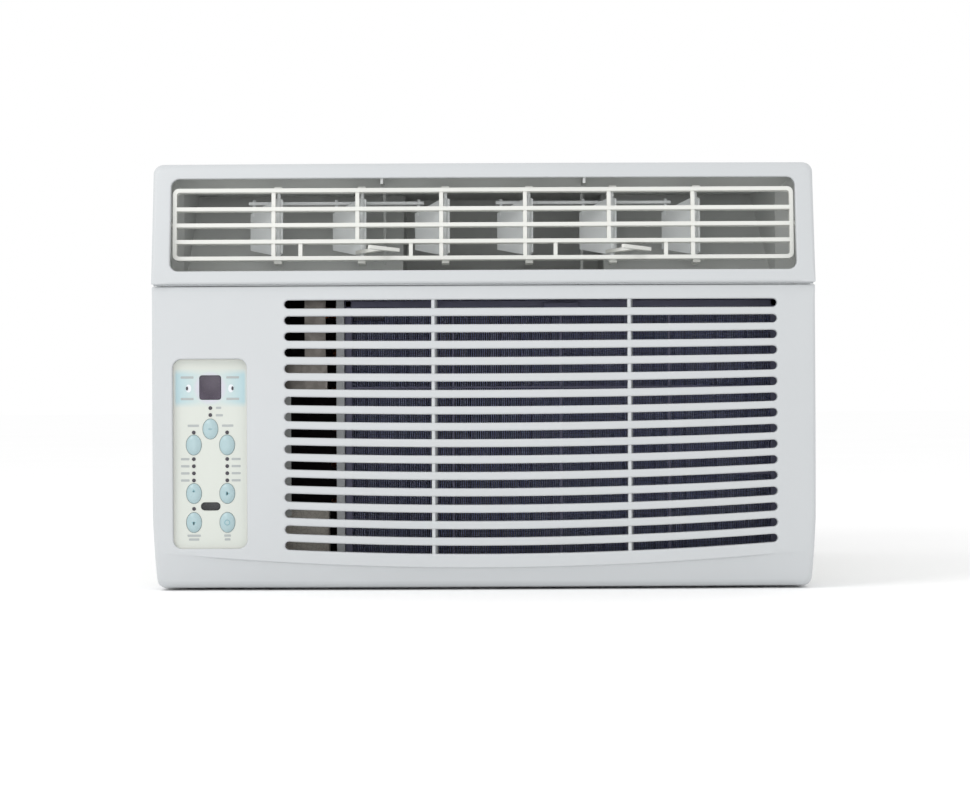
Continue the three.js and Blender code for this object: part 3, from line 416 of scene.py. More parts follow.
# ---------------------------------------------------------------- flat outlines, as x and z
def rounded_loop(corners, spacing, arc_steps=6):
    """A closed anticlockwise outline from (x, z, radius) corners, with straights cut at the spacing."""
    count = len(corners)
    points = []
    for i, (x, z, radius) in enumerate(corners):
        corner = np.array([x, z])
        before = np.array(corners[i - 1][:2]) - corner
        after = np.array(corners[(i + 1) % count][:2]) - corner
        before /= np.linalg.norm(before)
        after /= np.linalg.norm(after)
        half = math.acos(float(np.clip(before @ after, -1, 1))) / 2
        back = radius / math.tan(half)
        middle = (before + after) / np.linalg.norm(before + after)
        centre = corner + middle * radius / math.sin(half)
        start = corner + before * back - centre
        end = corner + after * back - centre
        a0 = math.atan2(start[1], start[0])
        a1 = math.atan2(end[1], end[0])
        turn = (a1 - a0 + math.pi) % (2 * math.pi) - math.pi
        for k in range(arc_steps + 1):
            angle = a0 + turn * k / arc_steps
            points.append(centre + radius * np.array([math.cos(angle), math.sin(angle)]))
    closed = []
    for i, point in enumerate(points):
        follower = points[(i + 1) % len(points)]
        cuts = max(1, round(float(np.linalg.norm(follower - point)) / spacing))
        closed.extend(point + (follower - point) * k / cuts for k in range(cuts))
    return np.array(closed)


def ellipse_loop(x, z, half_x, half_z, count=32):
    angles = 2 * math.pi * np.arange(count) / count
    return np.stack([x + half_x * np.cos(angles), z + half_z * np.sin(angles)], 1)


def rectangle_loop(left, right, low, high, corner, spacing, arc_steps=6):
    corners = [(left, low, corner), (right, low, corner), (right, high, corner), (left, high, corner)]
    return rounded_loop(corners, spacing, arc_steps)


def outward(loop):
    """Unit normals of an anticlockwise loop, pointing out of what it encloses."""
    along = np.roll(loop, -1, 0) - np.roll(loop, 1, 0)
    normal = np.stack([along[:, 1], -along[:, 0]], 1)
    return normal / np.linalg.norm(normal, axis=1, keepdims=True)


def enclosed(points, loop):
    """Which points lie inside a closed loop."""
    x, z = points[:, 0:1], points[:, 1:2]
    x0, z0 = loop[:, 0], loop[:, 1]
    x1, z1 = np.roll(x0, -1), np.roll(z0, -1)
    crosses = (z0 > z) != (z1 > z)
    slope = (x1 - x0) / np.where(z1 == z0, 1e-12, z1 - z0)
    return (np.sum(crosses & (x < x0 + slope * (z - z0)), axis=1) % 2) == 1


def flat_face(loops, creases, spacing):
    """Triangles that fill the first loop round the others and run along the creases. Also gives
    the numbers of each loop's points."""
    starts, flat, lines = [], [], []
    for loop in loops:
        starts.append(len(flat))
        lines += [(len(flat) + i, len(flat) + (i + 1) % len(loop)) for i in range(len(loop))]
        flat.extend(loop)
    for line in creases:
        lines += [(len(flat) + i, len(flat) + i + 1) for i in range(len(line) - 1)]
        flat.extend(line)
    fixed = np.array(flat)
    low, high = fixed.min(0), fixed.max(0)
    columns = np.linspace(low[0], high[0], max(2, int((high[0] - low[0]) / spacing)) + 1)[1:-1]
    rows = np.linspace(low[1], high[1], max(2, int((high[1] - low[1]) / spacing)) + 1)[1:-1]
    grid = np.array([(x, z) for x in columns for z in rows])
    gap = np.min(np.linalg.norm(grid[:, None] - fixed[None], axis=2), axis=1)
    grid = grid[gap > 0.45 * spacing]

    def on_material(points):
        keep = enclosed(points, loops[0])
        for loop in loops[1:]:
            keep &= ~enclosed(points, loop)
        return keep

    everything = np.vstack([fixed, grid[on_material(grid)]])
    made = delaunay_2d_cdt([Vector(p) for p in everything], lines, [], 0, 1e-8)
    points = np.array([tuple(v) for v in made[0]])
    triangles = np.array([f for f in made[2] if len(f) == 3])
    triangles = triangles[on_material(points[triangles].mean(1))]
    place = {given: index for index, group in enumerate(made[3]) for given in group}
    numbers = [[place[start + i] for i in range(len(loop))] for start, loop in zip(starts, loops)]
    return points, triangles, numbers


def moulding(solid, front, outline, edge, holes, skin, rear, spacing, creases=()):
    """A moulded shell. Its face follows y = front(x, z) inside the outline, with rounded edges of
    radius edge there and round each (loop, radius, depth) hole. Its walls reach back to rear(x, z)."""
    edges_of = [(outline, -outward(outline), edge)] + [(h, outward(h), r) for h, r, _ in holes]
    loops = [loop + into * np.reshape(radius, (-1, 1)) for loop, into, radius in edges_of]
    points, triangles, numbers = flat_face(loops, creases, spacing)
    y = front(points[:, 0], points[:, 1])
    count = len(points)
    face = np.column_stack([points[:, 0], y, points[:, 1]])
    back = np.column_stack([points[:, 0], y + skin, points[:, 1]])
    vertices = [*face, *back]
    faces = [list(t) for t in triangles] + [[t[2] + count, t[1] + count, t[0] + count] for t in triangles]

    def add_ring(flat_ring, depth):
        start = len(vertices)
        vertices.extend(np.column_stack([flat_ring[:, 0], depth, flat_ring[:, 1]]))
        return list(range(start, start + len(flat_ring)))

    for number, (loop, into, radius) in enumerate(edges_of):
        size = len(loop)
        radius = np.broadcast_to(np.asarray(radius, float), (size,))
        base = loops[number]
        at = numbers[number]
        rings = [at]
        surface = front(loop[:, 0], loop[:, 1])
        for k in range(1, EDGE_STEPS + 1):
            share = k / EDGE_STEPS
            angle = 0.5 * math.pi * share
            ring = loop + into * (radius * (1 - math.sin(angle)))[:, None]
            depth = front(base[:, 0], base[:, 1]) * (1 - share) + surface * share
            rings.append(add_ring(ring, depth + radius * (1 - math.cos(angle))))
        if number == 0:
            end = rear(loop[:, 0], loop[:, 1])
            rings.append(add_ring(loop, end))
            rings.append(add_ring(loop + into * skin, end))
        else:
            depth = np.broadcast_to(np.asarray(holes[number - 1][2], float), (size,))
            rings.append(add_ring(loop, surface + depth))
            rings.append(add_ring(base, surface + depth))
        rings.append([i + count for i in at])
        for a, b in zip(rings, rings[1:]):
            for i in range(size):
                j = (i + 1) % size
                quad = [a[j], a[i], b[i], b[j]]
                faces.append(quad if number == 0 else quad[::-1])
    solid.add(vertices, faces)


# ---------------------------------------------------------------- front surface
def bulge(x):
    """Depth of the slightly bowed front at one distance from its middle."""
    return FRONT + BULGE * (x / HALF) ** 2


def crease_height(x):
    """Height of the smile-shaped crease below the slots."""
    return CREASE["low"] + CREASE["rise"] * x * x


def door_front(x, z):
    """Gently crowned face that steps back and turns under below the smile-shaped crease."""
    crown = CROWN["least"] + CROWN["more"] * ((z - CROWN["middle"]) / CROWN["reach"]) ** 2
    below = crease_height(x) - z
    under = np.clip(below / crease_height(x), 0, 1)
    fade = np.clip((CREASE["end"] - np.abs(x)) / CREASE["fade"], 0, 1)
    step = CREASE["step"] * np.clip(below / CREASE["drop"], 0, 1) * fade
    return bulge(x) + crown + step + CREASE["turn"] * under + CREASE["tuck"] * under**2


def bezel_front(x, z):
    """The bezel stands upright at the seam and leans back above it."""
    return bulge(x) + BEZEL_LEAN * np.maximum(0, z - BEZEL_LOW - 5 * MM)


def slot_loop(index):
    """A long slot with round ends; the lower it is, the more its middle bows down."""
    from_top = SLOT["count"] - 1 - index
    bow = SLOT["bow"] * from_top / (SLOT["count"] - 1)
    radius = SLOT["height"] / 2
    middle = SLOT["low"] + index * SLOT["pitch"]
    x0, x1 = SLOT_LEFT + radius, SLOT_RIGHT - radius

    def line(x):
        return middle + bow * x * x

    along = np.linspace(x0, x1, 49)
    turn = np.radians(np.linspace(-90, 90, 13))[1:-1]
    right = np.column_stack([x1 + radius * np.cos(turn), line(x1) + radius * np.sin(turn)])
    left = np.column_stack([x0 - radius * np.cos(turn), line(x0) - radius * np.sin(turn)])
    low = np.column_stack([along, line(along) - radius])
    high = np.column_stack([along[::-1], line(along[::-1]) + radius])
    return np.vstack([low, right, high, left])


# ---------------------------------------------------------------- hinged inlet grille
def door_rear(x, z):
    """The walls stop short at the top and round the hinge arms, so that the grille can swing."""
    foot_end, top_end = -232 * MM, -240 * MM
    heights = np.array([0, 15, 17, 246, 249]) * MM
    end = np.interp(z, heights, [foot_end, foot_end, DOOR_REAR, DOOR_REAR, top_end])
    arm = (HINGE["inner"] + HINGE["outer"]) / 2
    by_arm = (np.abs(np.abs(x) - arm) < 7 * MM) & (z < 8 * MM)
    return np.where(by_arm, door_front(x, z) + 8 * MM, end)


def lower_outline(top, top_corner, spacing):
    """Outline of the front below the seam, a little narrower at its rounded foot."""
    right = [
        (HALF - LOWER_TAPER, BOTTOM, 7 * MM),
        (HALF, 60 * MM, 200 * MM),
        (HALF, top, top_corner),
    ]
    left = [(-x, z, radius) for x, z, radius in reversed(right)]
    return rounded_loop([left[-1], *right, *left[:-1]], spacing, 8)


def make_inlet_grille():
    """Hinged panel with its slots, the window for the control plate and two upright ribs."""
    outline = lower_outline(DOOR_TOP, 1.2 * MM, 7 * MM)
    heights = np.array([4, 14, 245, 256]) * MM
    edge = np.interp(outline[:, 1], heights, np.array([6.5, 4, 3, 1.1]) * MM)
    window = rectangle_loop(WINDOW["left"], WINDOW["right"], WINDOW["low"], WINDOW["high"],
                            WINDOW["corner"], 6 * MM)
    to_plate = PLATE_LOW.y - 0.6 * MM - door_front(window[:, 0], window[:, 1])
    holes = [(slot_loop(i), 1.5 * MM, 7 * MM) for i in range(SLOT["count"])]
    holes.append((window, 1.3 * MM, to_plate))
    along = np.linspace(-0.27, 0.27, 90)
    creases = [np.column_stack([along, crease_height(along) - down]) for down in (0, CREASE["drop"])]
    solid = Solid()
    moulding(solid, door_front, outline, edge, holes, SKIN, door_rear, 9 * MM, creases)
    top_slot = SLOT["low"] + (SLOT["count"] - 1) * SLOT["pitch"]
    heights = np.linspace(SLOT["low"] - 7 * MM, top_slot + 7 * MM, 40)
    section = [(0.4, 1.2), (0, 1.6), (0, 12), (5, 12), (2.9, 1.6), (2.5, 1.2)]
    for x in SLOT_RIBS:
        solid.rings([
            [(x + u * MM, float(door_front(x, z)) + v * MM, z) for u, v in section] for z in heights
        ])
    piece("inlet_grille_shell", solid, "panel", "grille", ["inlet_grille"])


make_inlet_grille()


# ---------------------------------------------------------------- front frame
def frame_rear(x, z):
    """The bezel's walls stop short along the seam."""
    return np.where(z < BEZEL_LOW + 4 * MM, RIM_REAR, FRAME_REAR)


def make_front_frame():
    """Outlet bezel with the skirt, filter guides, hinge lugs and seam stop below it."""
    corners = [
        (-HALF, BEZEL_LOW, 1.1 * MM),
        (HALF, BEZEL_LOW, 1.1 * MM),
        (HALF, TOP, 8 * MM),
        (-HALF, TOP, 8 * MM),
    ]
    outline = rounded_loop(corners, 7 * MM, 8)
    heights = np.array([BEZEL_LOW, BEZEL_LOW + 14 * MM, TOP - 8 * MM, TOP])
    edge = np.interp(outline[:, 1], heights, np.array([1.0, 3, 4, 7]) * MM)
    along_seam = (outline[:, 1] < BEZEL_LOW + 0.1 * MM) & (np.abs(outline[:, 0]) < HALF - 14 * MM)
    edge[along_seam] = 2.4 * MM
    mouth = rectangle_loop(-MOUTH["half"], MOUTH["half"], MOUTH["low"], MOUTH["high"],
                           MOUTH["corner"], 8 * MM, 8)
    solid = Solid()
    moulding(solid, bezel_front, outline, edge, [(mouth, 1.4 * MM, 7 * MM)], SKIN, frame_rear, 9 * MM)
    add_skirt(solid)
    filter_low, filter_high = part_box("air_filter")
    guides = [
        (filter_low.x - 7.4 * MM, filter_low.x - 0.4 * MM),
        (filter_high.x + 1.5 * MM, filter_high.x + 4 * MM),
    ]
    front, rear = -226 * MM, -215 * MM
    for left, right in guides:
        solid.bar((left, front, 3 * MM), (right, rear, BEZEL_LOW + 1 * MM))
    for side in (-1, 1):
        add_hinge_lug(solid, side)
    add_seam_stop(solid)
    piece("front_frame_shell", solid, "panel", "chassis", ["front_frame"])


def add_skirt(solid):
    """U-shaped band behind the grille: two sides and a sill, swept with a rounded section."""
    loop = lower_outline(BEZEL_LOW, 0.2 * MM, 8 * MM)
    into = -outward(loop)
    keep = [i for i, p in enumerate(loop) if p[1] < BEZEL_LOW - 0.5 * MM]
    first = max(range(len(keep)), key=lambda k: (keep[k] - keep[k - 1]) % len(loop))
    order = keep[first:] + keep[:first]
    r = 0.6 * MM
    y0, y1 = DOOR_REAR + 0.6 * MM, FRAME_REAR
    section = [
        (r, y0), (SKIN - r, y0), (SKIN, y0 + r), (SKIN, y1 - r),
        (SKIN - r, y1), (r, y1), (0, y1 - r), (0, y0 + r),
    ]
    path = [(loop[i][0], loop[i][1], into[i][0], into[i][1]) for i in order]
    first_end, last_end = [
        (np.sign(x) * HALF, BEZEL_LOW, -np.sign(x), 0) for x in (path[0][0], path[-1][0])
    ]
    path = [first_end, *path, last_end]
    solid.rings([[(x + dx * u, v, z + dz * u) for u, v in section] for x, z, dx, dz in path])


def add_seam_stop(solid):
    """Low rib behind the seam that closes the view into it."""
    reach = HALF - 1.4 * MM
    stations = np.linspace(-reach, reach, 61)
    section = [(3.2, -1.3), (5.2, -1.3), (5.2, 1.5), (3.2, 1.5)]
    solid.rings([[(x, bulge(x) + (3 + u) * MM, BEZEL_LOW + v * MM) for u, v in section] for x in stations])


def add_hinge_lug(solid, side):
    """Arm that reaches forward from the sill with the grille's hinge pin."""
    y, z, radius = HINGE["y"], HINGE["z"], HINGE["arm"]
    turn = np.radians(np.linspace(90, 270, 13))
    profile = [(y + radius * math.cos(a), z + radius * math.sin(a)) for a in turn]
    neck, foot = -224 * MM, 3 * MM
    profile += [(neck, z - radius), (neck, foot), (RIM_REAR, foot), (RIM_REAR, z + radius)]
    solid.rings([[(x * side, v, w) for v, w in profile] for x in (HINGE["inner"], HINGE["outer"])])
    pin = [(x * side, y, z) for x in (HINGE["inner"] + 2 * MM, HINGE["outer"] + 6 * MM)]
    round_pin(solid, *pin, 3 * MM)


def circle(middle, along, side, radius, count):
    """Points round a middle, square to the direction along."""
    other = along.cross(side)
    angles = 2 * math.pi * np.arange(count) / count
    return [middle + (side * math.cos(a) + other * math.sin(a)) * radius for a in angles]


def round_pin(solid, start, end, radius):
    """A cylinder between two points with small chamfers at its ends."""
    start, end = Vector(start), Vector(end)
    along = (end - start).normalized()
    side = along.orthogonal().normalized()
    chamfer = min(radius * 0.25, 0.5 * MM)
    stations = [(start, radius - chamfer), (start + along * chamfer, radius),
                (end - along * chamfer, radius), (end, radius - chamfer)]
    solid.rings([circle(middle, along, side, size, 20) for middle, size in stations])


make_front_frame()


# ---------------------------------------------------------------- control panel
def plate_point(x, z):
    """A point on the control plate, from mm beside its middle line and mm above the floor."""
    return PLATE_X + x * MM, z * MM


def level_at(depth):
    """A surface at one depth, for moulding()."""
    return lambda x, z: np.full(np.shape(x), depth)


def node_loop(name, grow, corner, spacing=3 * MM):
    """A rounded outline a little larger than a node."""
    low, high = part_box(name)
    return rectangle_loop(low.x - grow, high.x + grow, low.z - grow, high.z + grow, corner, spacing)


def make_control_plate():
    """Printed plate with holes for the lenses and the buttons."""
    low, high = PLATE_LOW, PLATE_HIGH
    outline = rectangle_loop(low.x, high.x, low.z, high.z, 7 * MM, 5 * MM)
    holes = [(node_loop("display_lens", 0.3 * MM, 2.2 * MM), 0.3 * MM, 2.4 * MM)]
    holes.append((node_loop("receiver_lens", 0.3 * MM, 3.2 * MM, 2 * MM), 0.3 * MM, 2.4 * MM))
    for name in BUTTON_NODES:
        x, z, half_x, half_z = button_size(name)
        holes.append((ellipse_loop(x, z, half_x + 0.2 * MM, half_z + 0.2 * MM, 40), 0.35 * MM, 2.4 * MM))
    solid = Solid()
    moulding(solid, level_at(low.y), outline, 0.4 * MM, holes, high.y - low.y - 0.1 * MM,
             level_at(high.y), 8 * MM)
    piece("control_plate_film", solid, "plate", "chassis", ["control_plate"])


def button_size(name):
    """Centre and half sizes of a button's cap, inside its wider foot."""
    low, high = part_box(name)
    half_x = (high.x - low.x) / 2 - BUTTON_FOOT
    half_z = (high.z - low.z) / 2 - BUTTON_FOOT
    return (low.x + high.x) / 2, (low.z + high.z) / 2, half_x, half_z


def make_button(name):
    """Oval cap with a domed top on its wider foot."""
    x, z, half_x, half_z = button_size(name)
    low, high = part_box(name)
    count = 48
    angles = 2 * math.pi * np.arange(count) / count

    def oval(inset, y):
        return [(x + (half_x - inset) * math.cos(a), y, z + (half_z - inset) * math.sin(a)) for a in angles]

    foot_front = high.y - 0.9 * MM
    profile = [(-BUTTON_FOOT, high.y), (-BUTTON_FOOT, foot_front), (0, foot_front), (0, low.y + 2.3 * MM)]
    for share in np.linspace(0.03, 1, 13):
        profile.append((5.9 * MM * share, low.y + 2.1 * MM * (1 - share) ** 2))
    solid = Solid()
    solid.rings([oval(inset, y) for inset, y in profile])
    piece(name + "_cap", solid, "button", name, [name], 60)


def flat_print(solid, outline, holes=(), y=PLATE_LOW.y - 0.04 * MM):
    """A printed shape, as a thin raised film."""
    moulding(solid, level_at(y - 0.08 * MM), outline, 0.03 * MM,
             [(hole, 0.03 * MM, 0.06 * MM) for hole in holes], 0.06 * MM,
             level_at(y - 0.01 * MM), 4 * MM)


def make_marks():
    """Plain printed bars, in place of lettering, and a pale crescent beside each side lamp."""
    solid = Solid()

    def dash(x, z, half):
        left, low = plate_point(x - half, z - DASH_HALF)
        right, high = plate_point(x + half, z + DASH_HALF)
        flat_print(solid, rectangle_loop(left, right, low, high, 0.5 * MM, 2 * MM, 3))

    for z in LAMP_ROWS:
        dash(-21.4, z, 3.6)
        dash(21.6, z, 3.8)
    for x, z, half in ((7.0, 154.9, 2.2), (7.6, 148.6, 3.0), (-14.4, 139.8, 4.8), (14.6, 139.8, 4.8)):
        dash(x, z, half)
    for x, upper, lower in ((-LAMP_COLUMN, 5.6, 4.4), (LAMP_COLUMN, 2.8, 2.4)):
        dash(x, 46.9, upper)
        dash(x, 43.7, lower)
    for x in (-19.5, 19.0):
        dash(x, 180.6, 5.4)
        dash(x, 162.4, 5.4)
    piece("plate_marks", solid, "print", "chassis")
    pale = Solid()
    for x, z in SIDE_LAMPS:
        cx, cz = plate_point(x - 1.3 * np.sign(x), z)
        flat_print(pale, ellipse_loop(cx, cz, 2.3 * MM, 3.4 * MM, 28))
    piece("plate_crescents", pale, "pale", "chassis")


def make_button_marks():
    """Plain signs on five buttons: three triangles, a ring and a level bar."""
    def triangle(x, z, size, turn):
        angles = [math.radians(turn + 120 * k) for k in range(3)]
        corners = [(x + size * math.cos(a), z + size * math.sin(a), 0.25 * MM) for a in angles]
        return [rounded_loop(corners, 1 * MM, 3)]

    def ring(x, z):
        return [ellipse_loop(x, z, radius, radius) for radius in (2.5 * MM, 1.7 * MM)]

    def bar(x, z):
        return [rectangle_loop(x - 1.8 * MM, x + 1.8 * MM, z - 0.4 * MM, z + 0.4 * MM, 0.3 * MM, 1 * MM, 3)]

    signs = {
        "button_up": lambda x, z: triangle(x, z + 2.2 * MM, 1.9 * MM, 90),
        "button_fan_speed": lambda x, z: triangle(x, z, 2.4 * MM, 0),
        "button_down": lambda x, z: triangle(x, z - 0.4 * MM, 2.2 * MM, 270),
        "button_power": ring,
        "button_mode": bar,
    }
    for name, sign in signs.items():
        x, z, _, _ = button_size(name)
        outline, *holes = sign(x, z)
        solid = Solid()
        flat_print(solid, outline, holes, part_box(name)[0].y + 0.08 * MM)
        piece(name + "_sign", solid, "sign", name)


def make_lamps():
    """Small domed lenses, round in the rows and oval beside the display."""
    solid = Solid()
    round_lamps = [(x, z, 1.6 * MM, 1.6 * MM) for x, z in LAMPS]
    oval_lamps = [(x, z, 0.95 * MM, 1.7 * MM) for x, z in SIDE_LAMPS]
    profile = [(1, 1.0), (1, -0.25), (0.9, -0.45), (0.65, -0.6), (0.3, -0.68)]
    for x, z, half_x, half_z in round_lamps + oval_lamps:
        cx, cz = plate_point(x, z)
        rings = []
        for share, depth in profile:
            loop = ellipse_loop(cx, cz, half_x * share, half_z * share, 20)
            rings.append([(u, PLATE_LOW.y + depth * MM, w) for u, w in loop])
        solid.rings(rings)
    piece("lamps", solid, "lamp", "chassis", smooth=60)


def make_lens(name, corner, material):
    """A slightly crowned window with rounded corners."""
    low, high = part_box(name)
    solid = Solid()
    outline = rectangle_loop(low.x, high.x, low.z, high.z, corner, 1.5 * MM)
    middle_x, middle_z = (low.x + high.x) / 2, (low.z + high.z) / 2
    reach = max(high.x - low.x, high.z - low.z) / 2

    def crowned(x, z):
        away = ((x - middle_x) ** 2 + (z - middle_z) ** 2) / reach**2
        return low.y + 0.35 * MM * np.minimum(1, away)

    moulding(solid, crowned, outline, 0.35 * MM, [], 1.2 * MM, level_at(high.y), 2 * MM)
    piece(name + "_crown", solid, material, "chassis", [name], 60)


make_control_plate()
for button in BUTTON_NODES:
    make_button(button)
make_marks()
make_button_marks()
make_lamps()
make_lens("display_lens", 2 * MM, "lens")
make_lens("receiver_lens", 3.05 * MM, "receiver")


# ---------------------------------------------------------------- coils and filter
def make_fins(node, pitch, material):
    """Corrugated fin sheets, side by side across the coil."""
    low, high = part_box(node)
    count = int((high.x - low.x - 1 * MM) / pitch)
    start = (low.x + high.x) / 2 - pitch * (count - 1) / 2
    depths = np.linspace(low.y, high.y, 9)
    wave = [0.3 * MM * (-1) ** i for i in range(len(depths))]
    half = 0.11 * MM
    solid = Solid()
    for i in range(count):
        middle = start + i * pitch
        near = [(middle + w - half, y) for w, y in zip(wave, depths)]
        far = [(middle + w + half, y) for w, y in zip(wave, depths)]
        outline = near + far[::-1]
        solid.rings([[(x, y, z) for x, y in outline] for z in (low.z, high.z)])
    piece(node + "_fins", solid, material, "chassis", [node], 20, False)


def make_filter():
    """Snap-in frame with ribs and a tab, and a net of fine threads in it."""
    low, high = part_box("air_filter")
    front, rear = -222 * MM, high.y
    edge = 6 * MM
    inset = 1 * MM
    middle = (front + rear) / 2
    solid = Solid()
    for z in (low.z, high.z - edge):
        solid.bar((low.x, front, z), (high.x, rear, z + edge), 0.8 * MM)
    for x in (low.x, high.x - edge):
        solid.bar((x, front, low.z), (x + edge, rear, high.z), 0.8 * MM)
    for share in (0.25, 0.5, 0.75):
        x = low.x + (high.x - low.x) * share
        solid.bar((x - 1.2 * MM, front + inset, low.z + inset), (x + 1.2 * MM, rear - inset, high.z - inset))
    for share in (1 / 3, 2 / 3):
        z = low.z + (high.z - low.z) * share
        solid.bar((low.x + inset, front + inset, z - 1 * MM), (high.x - inset, rear - inset, z + 1 * MM))
    tab = (low.x + high.x) / 2
    tab_low, tab_high = high.z - 12 * MM, high.z - 2 * MM
    solid.bar((tab - 15 * MM, low.y, tab_low), (tab + 15 * MM, front + inset, tab_high), 1 * MM)
    pitch, half, hold = 2.4 * MM, 0.14 * MM, 4 * MM
    near, far = middle - half, middle + half
    for x in np.arange(low.x + edge, high.x - edge, pitch):
        solid.bar((x - half, near, low.z + hold), (x + half, far, high.z - hold), 0.05 * MM)
    for z in np.arange(low.z + edge, high.z - edge, pitch):
        solid.bar((low.x + hold, near, z - half), (high.x - hold, far, z + half), 0.05 * MM)
    piece("air_filter_net", solid, "net", "chassis", ["air_filter"])


def make_coil_end(node, bends):
    """Galvanised tube sheet with the hairpin bends that stand out of it."""
    low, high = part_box(node)
    side = 1 if low.x + high.x > 0 else -1
    face = high.x if side < 0 else low.x
    left, right = sorted((face, face + side * 1.2 * MM))
    bend = 9.8 * MM
    sheet = Solid()
    sheet.bar((left, low.y, low.z), (right, high.y, high.z))
    piece(node + "_sheet", sheet, "steel", "chassis", [node])
    tubes = Solid()
    rise = (high.z - low.z) / bends
    middle = (low.y + high.y) / 2
    for i in range(bends):
        z = low.z + rise * (i + 0.5)
        tube(tubes, [
            (face + side * (0.6 * MM + bend * math.sin(a)), middle - bend * math.cos(a), z)
            for a in np.radians(range(0, 181, 12))
        ], 3.3 * MM)
    piece(node + "_bends", tubes, "copper", "chassis", [node], 60)


def tube(solid, path, radius):
    """A round tube along a path."""
    points = [Vector(p) for p in path]
    rings = []
    side = None
    for i, point in enumerate(points):
        along = (points[min(i + 1, len(points) - 1)] - points[max(i - 1, 0)]).normalized()
        side = (side - along * side.dot(along)).normalized() if side else along.orthogonal().normalized()
        rings.append(circle(point, along, side, radius, 16))
    solid.rings(rings)


for coil, bends in (("evaporator", 7), ("condenser", 8)):
    for end in ("left", "right"):
        make_coil_end(f"{coil}_end_{end}", bends)
make_fins("evaporator_coil", 1.9 * MM, "evaporator")
make_fins("condenser_coil", 2.1 * MM, "condenser")
make_filter()


# ---------------------------------------------------------------- carried-over nodes
def finish(name, material, width):
    """Gives a carried-over node its material, and rounds its edges."""
    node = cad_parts[name]
    node.data.materials.clear()
    node.data.materials.append(MATERIALS[material])
    if width:
        node.modifiers.new("weld", "WELD").merge_threshold = 1e-5
        flat = node.modifiers.new("flat_faces", "DECIMATE")
        flat.decimate_type = "DISSOLVE"
        flat.angle_limit = math.radians(0.5)
        bevel = node.modifiers.new("round_edges", "BEVEL")
        bevel.width = width
        bevel.segments = 2
        bevel.limit_method = "ANGLE"
        bevel.angle_limit = math.radians(30)
        node.modifiers.new("even_normals", "WEIGHTED_NORMAL").keep_sharp = True


def finish_all():
    """Material and edge radius of every node that is shown as it was packed."""
    plain = {
        "louver_grid": ("louver", 0.7 * MM),
        "outlet_duct": ("duct", 0.5 * MM),
        "control_housing": ("duct", 0.4 * MM),
        "control_board": ("board", 0.3 * MM),
        "base_pan": ("cabinet", 0.5 * MM),
        "cabinet_wrapper": ("cabinet", 0.4 * MM),
        "rear_guard": ("cabinet", 0.6 * MM),
        "cord_gland": ("rubber", 0.5 * MM),
        "drain_tray": ("foam", 1 * MM),
        "coil_stay": ("dull_steel", 0.3 * MM),
        "coil_sensor": ("black", 0.4 * MM),
        # The bulkhead's dark lining colour stands in for the shade behind the slots.
        "bulkhead": ("lining", 0.3 * MM),
        "blower_housing": ("foam", 0.8 * MM),
        "blower_wheel": ("fan", 0.2 * MM),
        "fan_motor": ("black", 0.6 * MM),
        "motor_shaft": ("bright", 0.4 * MM),
        "motor_bracket": ("steel", 0.4 * MM),
        "wheel_nut": ("bright", 0.4 * MM),
        "condenser_fan": ("fan", 0.4 * MM),
        "fan_shroud": ("fan", 0.4 * MM),
        "compressor": ("black", 0.8 * MM),
        "accumulator": ("black", 0.6 * MM),
        "control_box": ("steel", 0.3 * MM),
        "run_capacitor": ("bright", 0.6 * MM),
    }
    for i in range(1, 7):
        plain[f"vane_{i}"] = ("vane", 0.35 * MM)
    for i in range(1, 4):
        plain[f"compressor_mount_{i}"] = ("rubber", 0.6 * MM)
    for side in ("left", "right"):
        plain[f"vane_lever_{side}"] = ("louver", 0.5 * MM)
        plain[f"vane_link_{side}"] = ("vane", 0.4 * MM)
    for name in ("suction_pipe", "discharge_pipe", "liquid_line"):
        plain[name] = ("copper", 0)
    for name, (material, width) in plain.items():
        finish(name, material, width)


finish_all()


def make_screws():
    """Hexagon washer-head screws along the foot of the cabinet's two sides."""
    solid = Solid()
    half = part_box("cabinet_wrapper")[1].x
    foot = 17 * MM
    washer = [(3.9, 0), (4.6, 0.2), (4.6, 0.6), (4.2, 0.9)]
    head = [(3.4, 0.7), (3.4, 2.3), (3.0, 2.7), (0.9, 2.7)]
    for side in (-1, 1):
        for y in (-0.17, 0.03, 0.23):
            for profile, count in ((washer, 24), (head, 6)):
                angles = 2 * math.pi * np.arange(count) / count
                solid.rings([[
                    (side * (half + out * MM), y + side * r * MM * math.cos(a), foot + r * MM * math.sin(a))
                    for a in angles
                ] for r, out in profile])
    piece("cabinet_screws", solid, "bright", "chassis")


make_screws()


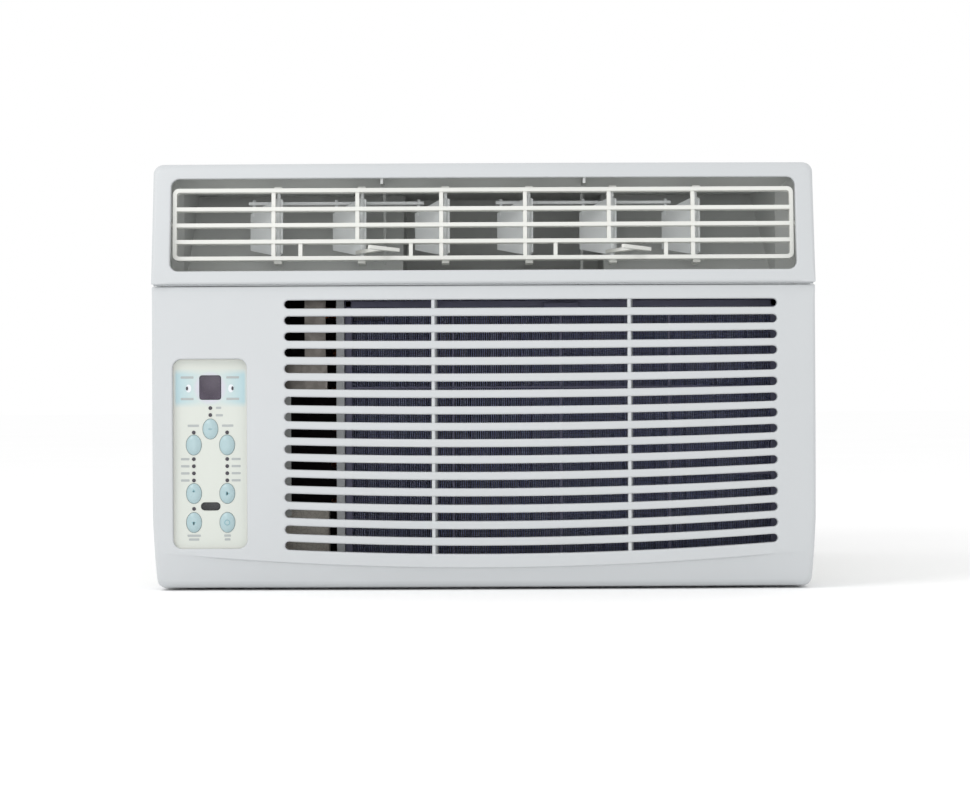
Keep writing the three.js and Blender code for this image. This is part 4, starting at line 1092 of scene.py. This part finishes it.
# ---------------------------------------------------------------- stage, light and camera
def make_stage():
    """A wide pale floor."""
    made = Nodes("stage_paint")
    made.link(made.mix(made.ranged(made.noise(2, 2), 0, 1), (0.985, 0.985, 0.985), (0.995, 0.995, 0.995)),
              made.shader.inputs["Base Color"])
    made.set(Roughness=1.0, Specular_IOR_Level=0.0)
    mesh = bpy.data.meshes.new("stage")
    mesh.from_pydata([(-14, -8, 0), (14, -8, 0), (14, 20, 0), (-14, 20, 0)], [], [(0, 1, 2, 3)])
    mesh.materials.append(made.material)
    stage = bpy.data.objects.new("stage", mesh)
    bpy.context.scene.collection.objects.link(stage)


def area_light(name, place, target, size, power):
    """A square soft light that faces its target."""
    data = bpy.data.lights.new(name, "AREA")
    data.size = size
    data.energy = power
    made = bpy.data.objects.new(name, data)
    made.location = place
    made.rotation_euler = (Vector(target) - Vector(place)).to_track_quat("-Z", "Y").to_euler()
    bpy.context.scene.collection.objects.link(made)


def make_lights():
    """Key light from the upper left, a weak fill from the front and an even white world."""
    target = (0, -0.2, 0.18)
    area_light("key", (-1.2, -1.4, 1.5), target, 0.9, 11)
    area_light("fill", (-0.3, -2.8, 0.5), target, 0.9, 5)
    world = bpy.data.worlds.new("studio")
    world.use_nodes = True
    background = world.node_tree.nodes["Background"]
    background.inputs["Color"].default_value = (1, 1, 1, 1)
    background.inputs["Strength"].default_value = 1.0
    bpy.context.scene.world = world


def make_camera():
    """Square on to the front and level, a little below its middle height."""
    distance = 2.2
    roll = math.radians(0.25)
    look_at = Vector((1 * MM, FRONT + 4 * MM, 166 * MM))
    data = bpy.data.cameras.new("camera")
    data.sensor_width = 36
    data.lens = 97
    made = bpy.data.objects.new("camera", data)
    made.location = look_at - Vector((0, distance, 0))
    facing = (look_at - made.location).to_track_quat("-Z", "Y").to_matrix().to_4x4()
    made.matrix_world = Matrix.Translation(made.location) @ facing @ Matrix.Rotation(-roll, 4, "Z")
    bpy.context.scene.collection.objects.link(made)
    bpy.context.scene.camera = made
    bpy.context.scene.view_settings.view_transform = "Standard"


make_stage()
make_lights()
make_camera()
